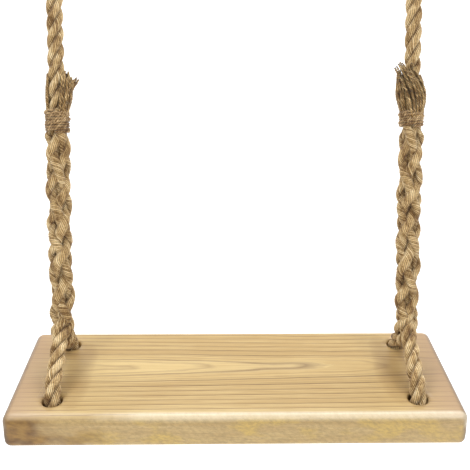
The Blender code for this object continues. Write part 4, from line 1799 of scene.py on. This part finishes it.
# ---------------------------------------------------------------- studio
@dataclass(frozen=True)
class Studio:
    """Pale sweep, soft lamps and the camera."""

    floor: float = -1.12
    eye: tuple[float, float, float] = (-0.0125, -0.7401, -0.4017)
    pitch: float = math.radians(5.95)
    yaw: float = 0.0169
    lens: float = 54.2

    def camera(self) -> None:
        """Stand the camera a little above the board, looking slightly down."""
        data = bpy.data.cameras.new("camera")
        data.lens = self.lens
        data.sensor_width = 36.0
        data.clip_start = 0.02
        camera = bpy.data.objects.new("camera", data)
        camera.location = self.eye
        camera.rotation_euler = (math.pi / 2 - self.pitch, 0.0, -self.yaw)
        bpy.context.scene.collection.objects.link(camera)
        bpy.context.scene.camera = camera

    def lamp(self, name: str, place: tuple[float, float, float], aim: tuple[float, float, float],
             size: tuple[float, float], power: float) -> None:
        """Add a soft rectangular lamp that points at a place.

        Args:
            name: its name.
            place: where it stands.
            aim: what it points at.
            size: its two sides.
            power: in watts.
        """
        data = bpy.data.lights.new(name, "AREA")
        data.shape = "RECTANGLE"
        data.size, data.size_y = size
        data.energy = power
        lamp = bpy.data.objects.new(name, data)
        lamp.location = place
        lamp.rotation_euler = (Vector(aim) - Vector(place)).to_track_quat("-Z", "Y").to_euler()
        bpy.context.scene.collection.objects.link(lamp)

    def sweep(self) -> None:
        """Floor that curves up into a backdrop: straight, a quarter round, straight."""
        radius, front, back, top = 0.9, -2.6, 1.9, 2.4
        a = np.linspace(0.0, math.pi / 2, 24)
        y = np.concatenate([[front], back + radius * np.sin(a), [back + radius]])
        z = np.concatenate([[0.0], radius * (1 - np.cos(a)), [top]]) + self.floor
        x = np.array([-3.6, 3.6])
        points = np.stack([np.repeat(x, len(y)), np.tile(y, 2), np.tile(z, 2)], axis=1)
        k = np.arange(len(y) - 1)
        faces = np.stack([k, k + len(y), k + len(y) + 1, k + 1], axis=1)
        mesh = bpy.data.meshes.new("sweep")
        mesh.from_pydata(points.tolist(), [], faces.tolist())
        mesh.polygons.foreach_set("use_smooth", np.ones(len(faces), bool))
        mesh.materials.append(PaperFinish().make())
        show("sweep", mesh)

    def build(self) -> None:
        """Set up the whole studio."""
        self.camera()
        self.sweep()
        world = bpy.data.worlds.new("studio")
        bpy.context.scene.world = world
        world.use_nodes = True
        background = world.node_tree.nodes["Background"]
        background.inputs["Color"].default_value = (1.0, 1.0, 1.0, 1.0)
        background.inputs["Strength"].default_value = 0.42
        for name, x, power in (("left_key", -0.95, 7.5), ("right_key", 0.95, 7.5)):
            self.lamp(name, (x, -1.15, 0.20), (0.0, 0.0, -0.62), (0.45, 0.45), power)
        self.lamp("top", (0.0, -0.35, 0.75), (0.0, 0.0, -0.62), (1.2, 0.6), 5.0)
        self.lamp("backdrop_light", (0.0, 0.4, 1.6), (0.0, 1.9, -1.0), (2.4, 1.2), 60.0)
        view = bpy.context.scene.view_settings
        view.view_transform = "Standard"
        view.look = "None"


# ---------------------------------------------------------------- assembly
def keep(finish: bpy.types.Material) -> None:
    """Finish the nodes that nothing replaces, which are the plates and the gate pins.

    Args:
        finish: their material.
    """
    for name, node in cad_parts.items():
        if not node.hide_render:
            node.data.materials.clear()
            node.data.materials.append(finish)
            LOG.info("%s: kept, in %s", name, finish.name)


def main() -> None:
    """Build the studio and every piece, and report each."""
    logging.basicConfig(level=logging.INFO, format="%(name)s %(message)s")
    Studio().build()
    low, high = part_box("seat_board")
    middle = (low + high) / 2
    looks = Looks.make(middle)
    Board(middle, looks).build()
    lays = {Side.LEFT: dict(seed=11, start_angle=0.4, tail_angle=0.9, whip_turns=8),
            Side.RIGHT: dict(seed=47, start_angle=1.9, tail_angle=0.2, whip_turns=5,
                             whip_slope=0.10, whip_rise=6 * MM)}
    for side in Side:
        rope = HangingRope(side, looks, yarns=FRINGES[side], **lays[side])
        rope.build()
        Hanger(side, looks).build()
        SeatRope(side, looks, rope, middle).build()
    keep(looks.zinc)


if __name__ == "__main__":
    main()
